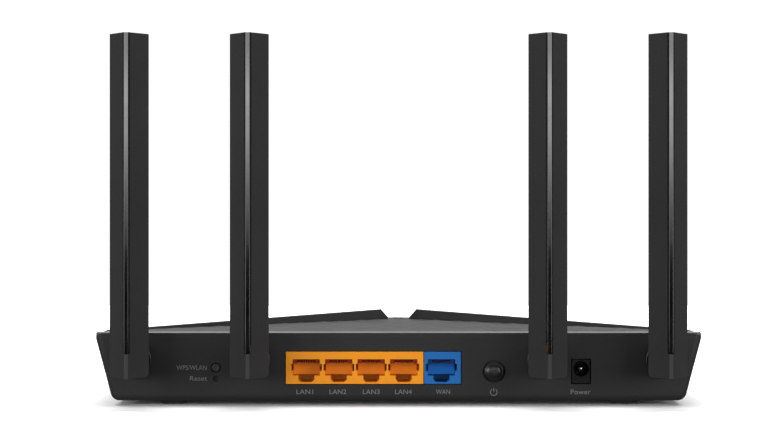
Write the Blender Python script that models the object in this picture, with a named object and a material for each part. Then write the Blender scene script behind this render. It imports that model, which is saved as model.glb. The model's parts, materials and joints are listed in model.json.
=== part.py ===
"""A wireless router with four folding antennas, built as the separate pieces it comes apart into.

Frame: metres, +Z up. The origin lies on the plane the feet stand on, at the middle of the box
round the whole object. The front faces -Y and the wall with the sockets faces +Y. Sizes in this
file are millimetres, and MM turns them into metres. Heights with a name ending in _H are counted
from the underside of the bottom case, which stands STAND above the origin.
"""

import math

import bmesh
import bpy

MM = 0.001
GAP = 0.3
OVERCUT = 1.0  # how far a cutting shape passes the face it cuts

# Casing
CASE_WIDTH = 261.6
CASE_DEPTH = 135.0
STAND = 2.0
REAR_Y = 53.5
FRONT_Y = REAR_Y - CASE_DEPTH
RIM_H = 29.9
DECK_H = 29.4
LID_EDGE = 1.1
LID_PLATE = 2.1
FRONT_DROP = 8.1
SHOULDER_H = 27.0
SIDE_INSET = 7.2
FLOOR = 2.0
WALL = 2.2
BOTTOM_RADIUS = 2.8
REAR_CORNER = 3.2
FRONT_CORNER = 6.0
CORNER_STEPS = 4
LID_CHAMFER = 0.5
LIP_DEPTH = 2.0
LIP_WALL = 1.5
LIP_TAPER = 0.5
LIP_ROOT = 0.3
PARTING_H = RIM_H - LID_EDGE
UNDER_H = RIM_H - LID_PLATE

# Level deck on the falling lid: a V between the wings and a channel to the front
DECK_START = 1.2
DECK_CORNER_DEPTH = 11.8
DECK_CHANNEL = 4.7
DECK_HOLLOW_DEPTHS = (45.0, 131.6)
DECK_HOLLOW_INSET = 3.0

# Raised wings on the lid, by distance from the rear edge. Their sides lean in towards the top.
WING_OUTER_X = 128.4
WING_INNER_X = 5.0
WING_TIP_DEPTH = 12.2
WING_FRONT_DEPTH = 133.8
WING_SWEEP = 0.84
WING_NOSE = 1.8
WING_TIP_H = 29.75
WING_RISE = 0.0376
WING_FALL = 0.06
LEAN_BACK = 0.8
LEAN_OUTER = 0.6
LEAN_FRONT = 1.2
LEAN_INNER = 3.2
WING_SKIN = 1.6

# Status lamps in the channel between the wings
LAMP_COUNT = 5
LAMP_FIRST_DEPTH = 118.0
LAMP_PITCH = 2.9
LAMP_SIZE = (4.0, 1.0)
LAMP_WINDOW_DEPTH = 3.0
GUIDE_RIB = (-3.4, -0.15)
GUIDE_BAR = 1.6
GUIDE_BAR_HALF = 2.4
GUIDE_LEG_HALF = 2.0

# Sockets on the rear wall
LAN_X = (39.8, 25.8, 11.8, -2.2)
LAN_BLOCK_X = (-10.7, 48.6)
WAN_X = -18.5
WAN_BLOCK_X = (-26.8, -11.0)
JACK_H = (7.3, 21.2)
JACK_DEPTH = 20.6
JACK_PROUD = 0.2
PORT_DEPTH = 14.0
PORT_TOP_H = 17.9
PORT_NOTCH_H = (12.9, 15.9)
PORT_FLOOR_H = 10.9
PORT_LATCH_H = (9.1, 8.1)
PORT_HALF = 5.85
PORT_NOTCH_HALF = 6.65
PORT_LATCH_HALF = (3.45, 2.4)
CONTACTS = 8
CONTACT_PITCH = 1.02
CONTACT_WIDTH = 0.5
CONTACT_H = (16.5, 17.1)
CONTACT_REACH = (1.6, 9.0, 13.2)

# Power inlet, buttons and reset
INLET_X = -78.6
INLET_HALF = 4.0
INLET_H = (7.5, 17.8)
INLET_DEPTH = 14.0
INLET_RECESS = 0.8
INLET_BORE_H = 13.7
INLET_BORE = 3.15
INLET_BORE_DEPTH = 10.0
INLET_PIN = 1.1
POWER_X = -41.1
POWER_H = 12.7
POWER_RADIUS = 4.15
POWER_DOME = 0.9
POWER_PROUD = 2.3
POWER_TRAVEL = 1.8
POWER_COLLAR = 1.0
POWER_COLLAR_THICK = 1.4
POWER_STEM = 1.3
POWER_STEM_END = 5.2
WPS_X = 78.7
WPS_H = 14.3
WPS_RADIUS = 1.75
WPS_PROUD = 0.5
SMALL_COLLAR = 0.8
SMALL_STEM = 0.8
SMALL_STEM_END = 2.0
RESET_H = 9.5
RESET_HOLE = 1.05
RESET_PLUNGER = 1.5
RESET_STEM = 0.7

# Switches on the board, behind the three buttons
SWITCH_HALF = 3.2
POWER_SWITCH_HALF = 4.0
POWER_SWITCH_LENGTH = 9.0
POWER_SWITCH_TOP = 3.6
STEM_SOCKET = 1.6
STEM_SOCKET_DEPTH = 4.2
WPS_SWITCH_BACK = 2.8
WPS_SWITCH_H = (12.2, 16.8)
WPS_SWITCH_LENGTH = 6.4
WPS_LEG_REACH = (4.4, 7.4)
WPS_LEG_TOP_H = 14.0
RESET_SWITCH_BACK = 2.9
RESET_SWITCH_TOP_H = 11.8
RESET_SWITCH_LENGTH = 3.6

# Antennas
ANTENNA_X = (-114.2, -63.3, 63.3, 114.2)
ANTENNA_BOTTOM_H = 11.4
ANTENNA_TOP_H = 156.9
PIVOT_H = 17.7
ANTENNA_BEHIND = 14.5
SIDE_DEPTH = 2.0
RIDGE_DEPTH = 13.5
ANTENNA_HALF = 8.25
RIDGE_HALF = 0.825
PIVOT_DEPTH = 5.5
TOE_RADIUS = 5.0
TONGUE_HALF = 2.0
TONGUE_RADIUS = 4.0
SLOT_HALF = TONGUE_HALF + GAP
PIN_RADIUS = 1.3
PIN_HALF = 4.3
STRIP_BOTTOM_H = 22.1
STRIP_DEPTH = 0.9
MOUNT_RADIUS = 8.0
MOUNT_THICK = 2.5
NECK_RADIUS = 5.6
SHAFT_RADIUS = 5.0
FLANGE_RADIUS = 7.0
FLANGE_THICK = 1.6
HUB_END = 13.0
LEAD_BORE = 1.6
SLEEVE_HOLLOW_HALF = 3.4
SLEEVE_HOLLOW_DEPTHS = (1.8, 7.2)
SLEEVE_HOLLOW_TOP_H = 150.0
RADIATOR_HALF = 2.9
RADIATOR_Y = (-1.9, -1.1)
RADIATOR_BOTTOM = 12.0
RADIATOR_TOP_H = 148.0
ROUND_STEPS = 24

# Inside the casing
BOARD_H = (5.4, 7.0)
BOARD_HALF = 96.0
BOARD_DEPTHS = (3.0, 125.0)
STANDOFF_X = 86.0
STANDOFF_DEPTHS = (12.0, 116.0)
STANDOFF_RADIUS = 3.0
BOSS_RADIUS = 4.2
BOSS_TOP_H = 14.0
POST_RADIUS = 3.6
POST_HOLE = 1.8
POST_HOLE_TOP_H = 20.0
SCREW_HEAD_ROOM = 3.3
SCREW_WELL_H = 2.6
SCREW_SHANK_ROOM = 1.9
SCREW_HEAD_RADIUS = 2.9
SCREW_HEAD_THICK = 1.5
SCREW_SHANK = 1.4
SCREW_LENGTH = 18.2
SCREW_SEAT_H = 0.7
FOOT_CHAMFER = 0.5
BOARD_HOLE = 1.6
FOOT_X = 98.0
FOOT_DEPTHS = (14.0, 121.0)
FOOT_RADIUS = 6.0
FOOT_SUNK = 0.8
SCREW_X = 112.0
SCREW_DEPTHS = (44.0, 112.0)
VENT_HALF_COUNT = 6
VENT_PITCH = 6.5
VENT_SIZE = (2.2, 24.0)
VENT_DEPTHS = (38.0, 74.0)
SHIELD_X = 58.0
SHIELD_HALF = 17.0
SHIELD_DEPTHS = (62.0, 92.0)
SHIELD_SKIN = 0.5
SHIELD_TOP = 4.5
FIN_COUNT = 9
FIN_PITCH = 4.2
FIN_HALF = 0.6
FIN_TOP_H = 18.0
HEATSINK_LIFT = 1.6
HEATSINK_BASE = 2.0
HEATSINK_DEPTHS = (52.0, 86.0)
TRANSFORMER_HALF = 8.5
TRANSFORMER_DEPTHS = (28.0, 37.0)
TRANSFORMER_LAN_X = 19.0
TRANSFORMER_WAN_X = -18.0
TRANSFORMER_TOP = 6.5
COAX_RADIUS = 0.7
COAX_STEPS = 12
COAX_LEAVES = 9.0
COAX_ARRIVES = 16.0
COAX_SIDE_DEPTH = 70.0
COAX_REAR_X = 7.0
COAX_LIFT = 2.0


def depth_y(depth):
    """The Y of a place this far forward of the rear wall's outer face."""
    return REAR_Y - depth


def fall_at(y):
    """How far the rim has fallen at this Y, from nothing at the rear edge: a number below zero."""
    return -FRONT_DROP * (REAR_Y - y) / CASE_DEPTH


# Mesh building


def add_loft(bm, loops):
    """A closed shell through loops of equally many points."""
    rings = [[bm.verts.new(point) for point in loop] for loop in loops]
    for low, high in zip(rings, rings[1:]):
        for i, corner in enumerate(low):
            j = (i + 1) % len(low)
            bm.faces.new((corner, low[j], high[j], high[i]))
    bm.faces.new(rings[0][::-1])
    bm.faces.new(rings[-1])


def add_prism(bm, outline, axis, low, high):
    """An outline pushed along an axis. Its points are (y, z) for X, (x, z) for Y and (x, y) for Z."""
    place = {
        "X": lambda u, v, w: (w, u, v),
        "Y": lambda u, v, w: (u, w, v),
        "Z": lambda u, v, w: (u, v, w),
    }[axis]
    add_loft(bm, [[place(u, v, w) for u, v in outline] for w in (low, high)])


def add_box(bm, x, y, z):
    corners = [(x[0], y[0]), (x[1], y[0]), (x[1], y[1]), (x[0], y[1])]
    add_prism(bm, corners, "Z", z[0], z[1])


def arc(centre, radius, start, end, steps):
    """Points on an arc between two angles in degrees."""
    points = []
    for i in range(steps + 1):
        angle = math.radians(start + (end - start) * i / steps)
        points.append((centre[0] + radius * math.cos(angle), centre[1] + radius * math.sin(angle)))
    return points


def circle(centre, radius, steps=ROUND_STEPS):
    return arc(centre, radius, 0, 360, steps)[:-1]


def add_turned(bm, centre, profile, steps=ROUND_STEPS):
    """A piece turned about an axis along Y through centre (x, z). The profile is (y, radius) pairs."""
    loops = []
    for y, radius in profile:
        loops.append([(x, y, z) for x, z in circle(centre, radius, steps)])
    add_loft(bm, loops)


def finished(bm, name):
    """The mesh of a bmesh drawn in millimetres, in metres and with its faces turned out."""
    bmesh.ops.recalc_face_normals(bm, faces=bm.faces)
    bmesh.ops.scale(bm, vec=(MM, MM, MM), verts=bm.verts)
    mesh = bpy.data.meshes.new(name)
    bm.to_mesh(mesh)
    bm.free()
    return mesh


def drawn(name, *shapes):
    """One mesh of several shapes, each a function and what it takes after the bmesh."""
    bm = bmesh.new()
    for make, *values in shapes:
        make(bm, *values)
    return finished(bm, name)


def combined(mesh, tool, operation):
    """The mesh that an exact Boolean makes of two."""
    body = bpy.data.objects.new("body", mesh)
    other = bpy.data.objects.new("other", tool)
    for each in (body, other):
        bpy.context.scene.collection.objects.link(each)
    modifier = body.modifiers.new("boolean", "BOOLEAN")
    modifier.solver = "EXACT"
    modifier.operation = operation
    modifier.object = other
    depsgraph = bpy.context.evaluated_depsgraph_get()
    result = bpy.data.meshes.new_from_object(body.evaluated_get(depsgraph))
    for each in (body, other):
        bpy.data.objects.remove(each)
    for old in (mesh, tool):
        bpy.data.meshes.remove(old)
    return result


def cut(mesh, *shapes):
    return combined(mesh, drawn("tool", *shapes), "DIFFERENCE")


def joined(mesh, *shapes):
    return combined(mesh, drawn("tool", *shapes), "UNION")


# Objects and materials


def principled(name, colour, roughness, metallic=0.0):
    material = bpy.data.materials.new(name)
    material.use_nodes = True
    shader = material.node_tree.nodes["Principled BSDF"]
    shader.inputs["Base Color"].default_value = (*colour, 1.0)
    shader.inputs["Roughness"].default_value = roughness
    shader.inputs["Metallic"].default_value = metallic
    material.diffuse_color = (*colour, 1.0)
    return material


def make_materials():
    return {
        "casing": principled("casing", (0.028, 0.028, 0.029), 0.55),
        "deck": principled("deck", (0.034, 0.034, 0.036), 0.38),
        "wing": principled("wing", (0.022, 0.022, 0.023), 0.3),
        "sleeve": principled("sleeve", (0.031, 0.031, 0.032), 0.5),
        "gloss": principled("gloss", (0.012, 0.012, 0.013), 0.08),
        "orange": principled("orange", (0.87, 0.34, 0.025), 0.45),
        "blue": principled("blue", (0.019, 0.141, 0.43), 0.45),
        "gold": principled("gold", (0.85, 0.6, 0.25), 0.3, 1.0),
        "steel": principled("steel", (0.55, 0.55, 0.56), 0.32, 1.0),
        "tin": principled("tin", (0.62, 0.62, 0.6), 0.4, 1.0),
        "rubber": principled("rubber", (0.02, 0.02, 0.02), 0.85),
        "board": principled("board", (0.01, 0.12, 0.05), 0.5),
        "black_plastic": principled("black_plastic", (0.015, 0.015, 0.016), 0.4),
        "clear": principled("clear", (0.75, 0.78, 0.8), 0.15),
        "coax": principled("coax", (0.08, 0.08, 0.085), 0.45),
        "aluminium": principled("aluminium", (0.6, 0.61, 0.62), 0.4, 1.0),
    }


def place(name, mesh, material, origin=(0.0, 0.0, 0.0), parent=None):
    """Puts a mesh in the scene with its origin at a point in millimetres, counted from its parent's."""
    if not mesh.materials:
        mesh.materials.append(material)
        mesh.shade_smooth()
        mesh.set_sharp_from_angle(angle=math.radians(32))
    piece = bpy.data.objects.new(name, mesh)
    piece.location = [value * MM for value in origin]
    piece.parent = parent
    bpy.context.scene.collection.objects.link(piece)
    return piece


def axis_empty(name, origin, parent=None):
    empty = bpy.data.objects.new(name, None)
    empty.empty_display_size = 0.01
    empty.location = [value * MM for value in origin]
    empty.parent = parent
    bpy.context.scene.collection.objects.link(empty)
    return empty


# Casing


def side_inset(height):
    """How far the sloping sides and front are in from the shoulder at a height."""
    return SIDE_INSET * max(0.0, 1.0 - height / SHOULDER_H)


def case_loop(inset, rear_inset, height, falling=False):
    """The casing's outline at a height, pulled in by the insets. A falling one drops with the rim."""
    half = CASE_WIDTH / 2 - inset
    front = FRONT_Y + inset
    rear = REAR_Y - rear_inset
    rear_radius = max(REAR_CORNER - rear_inset, 1.0)
    outline = []
    for sign_x, y, radius, start in (
        (1, rear, rear_radius, 0),
        (-1, rear, rear_radius, 90),
        (-1, front, FRONT_CORNER, 180),
        (1, front, FRONT_CORNER, 270),
    ):
        sign_y = 1 if y == rear else -1
        centre = (sign_x * (half - radius), y - sign_y * radius)
        outline += arc(centre, radius, start, start + 90, CORNER_STEPS)
    return [(x, y, STAND + height + (fall_at(y) if falling else 0.0)) for x, y in outline]


def tray_loops():
    """The outside of the bottom case, from its rounded lower edge to the parting line."""
    loops = []
    for degrees in (0, 30, 60, 90):
        angle = math.radians(degrees)
        height = BOTTOM_RADIUS * (1 - math.cos(angle))
        rounding = BOTTOM_RADIUS * (1 - math.sin(angle))
        loops.append(case_loop(side_inset(height) + rounding, rounding, height))
    loops.append(case_loop(0, 0, SHOULDER_H, True))
    loops.append(case_loop(0, 0, PARTING_H - GAP, True))
    return loops


def tray_hollow():
    return [
        case_loop(side_inset(FLOOR) + WALL, WALL, FLOOR),
        case_loop(WALL, WALL, SHOULDER_H, True),
        case_loop(WALL, WALL, RIM_H + 5.0, True),
    ]


def on_floor(x, depth, radius, low, high, steps=12):
    """An upright cylinder at a place on the casing's plan, as a shape to draw."""
    outline = circle((x, depth_y(depth)), radius, steps)
    return (add_prism, outline, "Z", STAND + low, STAND + high)


def corners(half_x, depths):
    return [(sign * half_x, depth) for depth in depths for sign in (-1, 1)]


def grown(low, high):
    """A range with the usual gap added at both ends."""
    return (low - GAP, high + GAP)


def through_wall(x_range, h_range):
    return (
        add_box,
        x_range,
        (REAR_Y - WALL - OVERCUT, REAR_Y + OVERCUT),
        (STAND + h_range[0], STAND + h_range[1]),
    )


def round_through_wall(x, height, radius, steps=ROUND_STEPS):
    ends = (REAR_Y - WALL - OVERCUT, REAR_Y + OVERCUT)
    return (add_turned, (x, STAND + height), [(end, radius) for end in ends], steps)


def vent(x, depth):
    """One slot through the floor."""
    half_x, half_y = VENT_SIZE[0] / 2, VENT_SIZE[1] / 2
    y = depth_y(depth)
    ends = (STAND - OVERCUT, STAND + FLOOR + OVERCUT)
    return (add_box, (x - half_x, x + half_x), (y - half_y, y + half_y), ends)


def bottom_case():
    mesh = cut(drawn("bottom_case", (add_loft, tray_loops())), (add_loft, tray_hollow()))
    screws = corners(SCREW_X, SCREW_DEPTHS)
    standoffs = corners(STANDOFF_X, STANDOFF_DEPTHS)
    columns = [on_floor(x, d, BOSS_RADIUS, FLOOR - 1.0, BOSS_TOP_H) for x, d in screws]
    columns += [on_floor(x, d, STANDOFF_RADIUS, FLOOR - 1.0, BOARD_H[0] - GAP) for x, d in standoffs]
    mesh = joined(mesh, *columns)
    mesh = cut(mesh, *[on_floor(x, d, SCREW_HEAD_ROOM, -OVERCUT, SCREW_WELL_H) for x, d in screws])
    recesses = [on_floor(x, d, SCREW_SHANK_ROOM, FLOOR, BOSS_TOP_H + OVERCUT) for x, d in screws]
    for x, depth in corners(FOOT_X, FOOT_DEPTHS):
        recesses.append(on_floor(x, depth, FOOT_RADIUS + 2 * GAP, -OVERCUT, FOOT_SUNK, ROUND_STEPS))
    mesh = cut(mesh, *recesses)
    openings = [
        through_wall(grown(WAN_BLOCK_X[0], LAN_BLOCK_X[1]), grown(*JACK_H)),
        through_wall(grown(INLET_X - INLET_HALF, INLET_X + INLET_HALF), grown(*INLET_H)),
        round_through_wall(POWER_X, POWER_H, POWER_RADIUS + 0.4),
        round_through_wall(WPS_X, WPS_H, WPS_RADIUS + 0.35, 16),
        round_through_wall(WPS_X, RESET_H, RESET_HOLE, 12),
    ]
    openings += [round_through_wall(x, PIVOT_H, SHAFT_RADIUS + GAP) for x in ANTENNA_X]
    for depth in VENT_DEPTHS:
        for i in range(-VENT_HALF_COUNT, VENT_HALF_COUNT + 1):
            openings.append(vent(i * VENT_PITCH, depth))
    return cut(mesh, *openings)


def lamp_box(index, grow, low, high):
    """The space of one status lamp, grown sideways, between two heights counted from the deck."""
    y = depth_y(LAMP_FIRST_DEPTH + index * LAMP_PITCH)
    top = STAND + DECK_H
    half_x = LAMP_SIZE[0] / 2 + grow
    half_y = LAMP_SIZE[1] / 2 + grow
    return (add_box, (-half_x, half_x), (y - half_y, y + half_y), (top + low, top + high))


def wing_back_depth(x):
    """Where the foot of a wing's rear edge runs, as a depth."""
    return WING_TIP_DEPTH + (WING_OUTER_X - x) * WING_SWEEP


def mirrored(half):
    """A symmetric outline from its right half, each point (x, depth)."""
    points = half + [(-x, depth) for x, depth in reversed(half)]
    return [(x, depth_y(depth)) for x, depth in points]


def deck_plan():
    """The V of the deck and the channel after it, just clear of the wings."""
    clear = WING_TIP_DEPTH - DECK_CORNER_DEPTH
    half = [
        (WING_OUTER_X, DECK_START),
        (WING_OUTER_X, DECK_CORNER_DEPTH),
        (DECK_CHANNEL, wing_back_depth(DECK_CHANNEL) - clear),
        (DECK_CHANNEL, WING_FRONT_DEPTH),
    ]
    return mirrored(half)


def deck_hollow_plan():
    """The room under the deck where it stands well above the plate."""
    (first, last), inset = DECK_HOLLOW_DEPTHS, DECK_HOLLOW_INSET
    outer = WING_OUTER_X - (first - WING_TIP_DEPTH) / WING_SWEEP - inset
    channel = DECK_CHANNEL - WING_SKIN
    half = [(outer, first), (channel, wing_back_depth(channel) - inset), (channel, last)]
    return mirrored(half)


def top_cover():
    plate = [
        case_loop(0, 0, PARTING_H, True),
        case_loop(0, 0, RIM_H - LID_CHAMFER, True),
        case_loop(LID_CHAMFER, LID_CHAMFER, RIM_H, True),
    ]
    clear = WALL + GAP
    lip = [
        case_loop(clear + LIP_TAPER, clear + LIP_TAPER, UNDER_H - LIP_DEPTH, True),
        case_loop(clear, clear, PARTING_H + LIP_ROOT, True),
    ]
    inner = clear + LIP_WALL
    hollow = [case_loop(inner, inner, height, True) for height in (UNDER_H - LIP_DEPTH - OVERCUT, UNDER_H)]
    mesh = joined(drawn("top_cover", (add_loft, plate)), (add_loft, lip))
    mesh = cut(mesh, (add_loft, hollow))
    deck = [
        [(x, y, STAND + PARTING_H + fall_at(y)) for x, y in deck_plan()],
        [(x, y, STAND + DECK_H) for x, y in deck_plan()],
    ]
    mesh = joined(mesh, (add_loft, deck))
    room = [
        [(x, y, STAND + UNDER_H - OVERCUT + fall_at(y)) for x, y in deck_hollow_plan()],
        [(x, y, STAND + UNDER_H) for x, y in deck_hollow_plan()],
    ]
    mesh = cut(mesh, (add_loft, room))
    posts = []
    for x, depth in corners(SCREW_X, SCREW_DEPTHS):
        into_plate = UNDER_H + fall_at(depth_y(depth)) + LID_PLATE / 2
        posts.append(on_floor(x, depth, POST_RADIUS, BOSS_TOP_H + GAP, into_plate))
    mesh = joined(mesh, *posts)
    low, high = BOSS_TOP_H - OVERCUT, POST_HOLE_TOP_H
    holes = [on_floor(x, d, POST_HOLE, low, high) for x, d in corners(SCREW_X, SCREW_DEPTHS)]
    holes += [lamp_box(i, GAP, -LAMP_WINDOW_DEPTH, OVERCUT) for i in range(LAMP_COUNT)]
    return cut(mesh, *holes)


def wing_top(x, y):
    """The level of a wing's flat top, which falls to the outer side and to the front."""
    out = WING_OUTER_X - abs(x)
    ridge_depth = WING_TIP_DEPTH + LEAN_BACK + out * WING_SWEEP
    return STAND + WING_TIP_H + out * WING_RISE - WING_FALL * (REAR_Y - y - ridge_depth)


def wing_outline(sign, lean, shrink=0.0):
    """A wing's plan. The lean is 0 at its foot and 1 at its top."""
    outer = WING_OUTER_X - LEAN_OUTER * lean - shrink
    front = WING_FRONT_DEPTH - LEAN_FRONT * lean - shrink
    inner = WING_INNER_X + LEAN_INNER * lean + shrink
    back = LEAN_BACK * lean + 1.4 * shrink
    nose = inner + WING_NOSE
    plan = [
        (outer, wing_back_depth(outer) + back),
        (outer, front - FRONT_CORNER),
        (outer - FRONT_CORNER, front),
        (inner, front),
        (inner, wing_back_depth(nose) + WING_NOSE + back),
        (nose, wing_back_depth(nose) + back),
    ]
    return [(sign * x, depth_y(depth)) for x, depth in plan]


def wing(sign):
    """A cap with thin walls, open underneath, that stands on the lid."""
    foot_level = STAND + RIM_H + GAP
    low_plan, high_plan = wing_outline(sign, 0.0), wing_outline(sign, 1.0)
    foot = [(x, y, foot_level + fall_at(y)) for x, y in low_plan]
    waist = [(x, y, (foot_level + fall_at(y) + wing_top(x, y)) / 2) for x, y in low_plan]
    crown = [(x, y, wing_top(x, y)) for x, y in high_plan]
    mesh = drawn("wing", (add_loft, [foot, waist, crown]))
    inside = wing_outline(sign, 1.0, WING_SKIN)
    low = [(x, y, foot_level + fall_at(y) - 3 * OVERCUT) for x, y in inside]
    high = [(x, y, wing_top(x, y) - WING_SKIN) for x, y in inside]
    return cut(mesh, (add_loft, [low, high]))


def light_guide():
    """A bar under the deck with one rib up to each lamp window and a leg down to the board's lamps."""
    mesh = drawn("light_guide", lamp_box(0, 0, *GUIDE_RIB))
    for i in range(1, LAMP_COUNT):
        mesh = joined(mesh, lamp_box(i, 0, *GUIDE_RIB))
    ends = (
        depth_y(LAMP_FIRST_DEPTH + (LAMP_COUNT - 1) * LAMP_PITCH + 1.0),
        depth_y(LAMP_FIRST_DEPTH - 1.2),
    )
    top = STAND + UNDER_H - GAP
    mesh = joined(mesh, (add_box, (-GUIDE_BAR_HALF, GUIDE_BAR_HALF), ends, (top - GUIDE_BAR, top)))
    leg = (ends[1] - 3.0, ends[1] - 0.4)
    rise = (STAND + BOARD_H[1] + 1.0, top - 0.5)
    return joined(mesh, (add_box, (-GUIDE_LEG_HALF, GUIDE_LEG_HALF), leg, rise))


def foot():
    """A rubber foot, its flat sole on the ground and its top in a recess of the floor."""
    outline = [
        (0, FOOT_RADIUS - FOOT_CHAMFER),
        (FOOT_CHAMFER, FOOT_RADIUS),
        (STAND + FOOT_SUNK - GAP, FOOT_RADIUS),
    ]
    loops = [[(x, y, z) for x, y in circle((0, 0), radius)] for z, radius in outline]
    return drawn("foot", (add_loft, loops))


def case_screw():
    """A screw seen from its head down: a low pan head in the floor's well and a plain shank."""
    profile = [
        (0, SCREW_HEAD_RADIUS - 0.5),
        (0.5, SCREW_HEAD_RADIUS),
        (SCREW_HEAD_THICK, SCREW_HEAD_RADIUS),
        (SCREW_HEAD_THICK, SCREW_SHANK),
        (SCREW_LENGTH - 1.2, SCREW_SHANK),
        (SCREW_LENGTH, SCREW_SHANK - 0.8),
    ]
    loops = [[(x, y, z) for x, y in circle((0, 0), radius, 12)] for z, radius in profile]
    return drawn("case_screw", (add_loft, loops))


# Sockets


def port_outline(x):
    """The mouth of one network socket, symmetric about x: contacts at the top, latch at the bottom."""
    half = [
        (PORT_HALF, PORT_TOP_H),
        (PORT_HALF, PORT_NOTCH_H[1]),
        (PORT_NOTCH_HALF, PORT_NOTCH_H[1]),
        (PORT_NOTCH_HALF, PORT_NOTCH_H[0]),
        (PORT_HALF, PORT_NOTCH_H[0]),
        (PORT_HALF, PORT_FLOOR_H),
        (PORT_LATCH_HALF[0], PORT_FLOOR_H),
        (PORT_LATCH_HALF[0], PORT_LATCH_H[0]),
        (PORT_LATCH_HALF[1], PORT_LATCH_H[1]),
    ]
    points = [(x + u, STAND + v) for u, v in half]
    return points + [(x - u, STAND + v) for u, v in reversed(half)]


def jack_block(x_range, port_places):
    face = REAR_Y + JACK_PROUD
    body = (add_box, x_range, (face - JACK_DEPTH, face), (STAND + JACK_H[0], STAND + JACK_H[1]))
    ports = [(add_prism, port_outline(x), "Y", face - PORT_DEPTH, face + OVERCUT) for x in port_places]
    return cut(drawn("jack_block", body), *ports)


def contact_comb():
    """Eight contact springs on one carrier, in the top of a socket, about its middle and its face."""
    tip, root, end = CONTACT_REACH
    half_span = (CONTACTS - 1) / 2 * CONTACT_PITCH
    outline = [(half_span + 1.2, -end), (half_span + 1.2, -root)]
    for i in reversed(range(CONTACTS)):
        x = (i - (CONTACTS - 1) / 2) * CONTACT_PITCH
        right = x + CONTACT_WIDTH / 2
        left = x - CONTACT_WIDTH / 2
        outline += [(right, -root), (right, -tip), (left, -tip), (left, -root)]
    outline += [(-half_span - 1.2, -root), (-half_span - 1.2, -end)]
    return drawn("contacts", (add_prism, outline, "Z", CONTACT_H[0], CONTACT_H[1]))


def power_jack():
    face = REAR_Y - INLET_RECESS
    body = (
        add_box,
        (INLET_X - INLET_HALF, INLET_X + INLET_HALF),
        (face - INLET_DEPTH, face),
        (STAND + INLET_H[0], STAND + INLET_H[1]),
    )
    centre = (INLET_X, STAND + INLET_BORE_H)
    bore = (add_turned, centre, [(face - INLET_BORE_DEPTH, INLET_BORE), (face + OVERCUT, INLET_BORE)])
    mesh = cut(drawn("power_jack", body), bore)
    seat_ends = (face - INLET_DEPTH - OVERCUT, face - INLET_BORE_DEPTH + OVERCUT)
    seat = [(y, INLET_PIN + GAP) for y in seat_ends]
    return cut(mesh, (add_turned, centre, seat, 16))


def power_jack_pin():
    """The inlet's centre pin, with a rounded tip just inside the mouth."""
    tip = REAR_Y - INLET_RECESS - 1.0
    root = REAR_Y - INLET_RECESS - INLET_DEPTH
    profile = [
        (root, INLET_PIN),
        (tip - 0.6, INLET_PIN),
        (tip - 0.15, INLET_PIN * 0.72),
        (tip, INLET_PIN * 0.3),
    ]
    return drawn("power_jack_pin", (add_turned, (INLET_X, STAND + INLET_BORE_H), profile, 16))


# Buttons. Each is drawn about its own axis, from the wall's outer face.


def power_button():
    """A domed cap with a retaining collar behind the wall and a stem into its switch."""
    inside = -WALL - GAP
    profile = [
        (inside - POWER_STEM_END, POWER_STEM),
        (inside - POWER_COLLAR_THICK, POWER_STEM),
        (inside - POWER_COLLAR_THICK, POWER_RADIUS + POWER_COLLAR),
        (inside, POWER_RADIUS + POWER_COLLAR),
        (inside, POWER_RADIUS),
        (POWER_PROUD - POWER_DOME, POWER_RADIUS),
        (POWER_PROUD - POWER_DOME * 0.55, POWER_RADIUS * 0.93),
        (POWER_PROUD - POWER_DOME * 0.2, POWER_RADIUS * 0.66),
        (POWER_PROUD, POWER_RADIUS * 0.22),
    ]
    return drawn("power_button", (add_turned, (0, 0), profile))


def wps_button():
    """A plain cap with a collar behind the wall and a short stem."""
    inside = -WALL - GAP
    profile = [
        (inside - SMALL_STEM_END, SMALL_STEM),
        (inside - SMALL_COLLAR, SMALL_STEM),
        (inside - SMALL_COLLAR, WPS_RADIUS + SMALL_COLLAR),
        (inside, WPS_RADIUS + SMALL_COLLAR),
        (inside, WPS_RADIUS),
        (WPS_PROUD - 0.3, WPS_RADIUS),
        (WPS_PROUD, WPS_RADIUS - 0.3),
    ]
    return drawn("wps_button", (add_turned, (0, 0), profile, 16))


def reset_plunger():
    """A round plunger whose end waits behind the pinhole, where a pin can push it."""
    inside = -WALL - GAP
    profile = [
        (inside - 2.2, RESET_STEM),
        (inside - 1.0, RESET_STEM),
        (inside - 1.0, RESET_PLUNGER),
        (inside, RESET_PLUNGER),
    ]
    return drawn("reset_plunger", (add_turned, (0, 0), profile, 14))


def power_switch():
    """The latching switch on the board, with a socket that the cap's stem slides into."""
    front = REAR_Y - WALL - GAP - POWER_COLLAR_THICK - POWER_TRAVEL - 0.5
    body = (
        add_box,
        (POWER_X - POWER_SWITCH_HALF, POWER_X + POWER_SWITCH_HALF),
        (front - POWER_SWITCH_LENGTH, front),
        (STAND + BOARD_H[1] + GAP, STAND + POWER_H + POWER_SWITCH_TOP),
    )
    socket = [(y, STEM_SOCKET) for y in (front - STEM_SOCKET_DEPTH, front + OVERCUT)]
    return cut(drawn("power_switch", body), (add_turned, (POWER_X, STAND + POWER_H), socket, 16))


def wps_switch():
    """A right-angle switch on a tall leg behind the reset switch."""
    front = REAR_Y - WALL - GAP - WPS_SWITCH_BACK
    x_range = (WPS_X - SWITCH_HALF, WPS_X + SWITCH_HALF)
    head_z = (STAND + WPS_SWITCH_H[0], STAND + WPS_SWITCH_H[1])
    head = (add_box, x_range, (front - WPS_SWITCH_LENGTH, front), head_z)
    leg_y = (front - WPS_LEG_REACH[1], front - WPS_LEG_REACH[0])
    leg = (add_box, x_range, leg_y, (STAND + BOARD_H[1] + GAP, STAND + WPS_LEG_TOP_H))
    return joined(drawn("wps_switch", head), leg)


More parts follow.
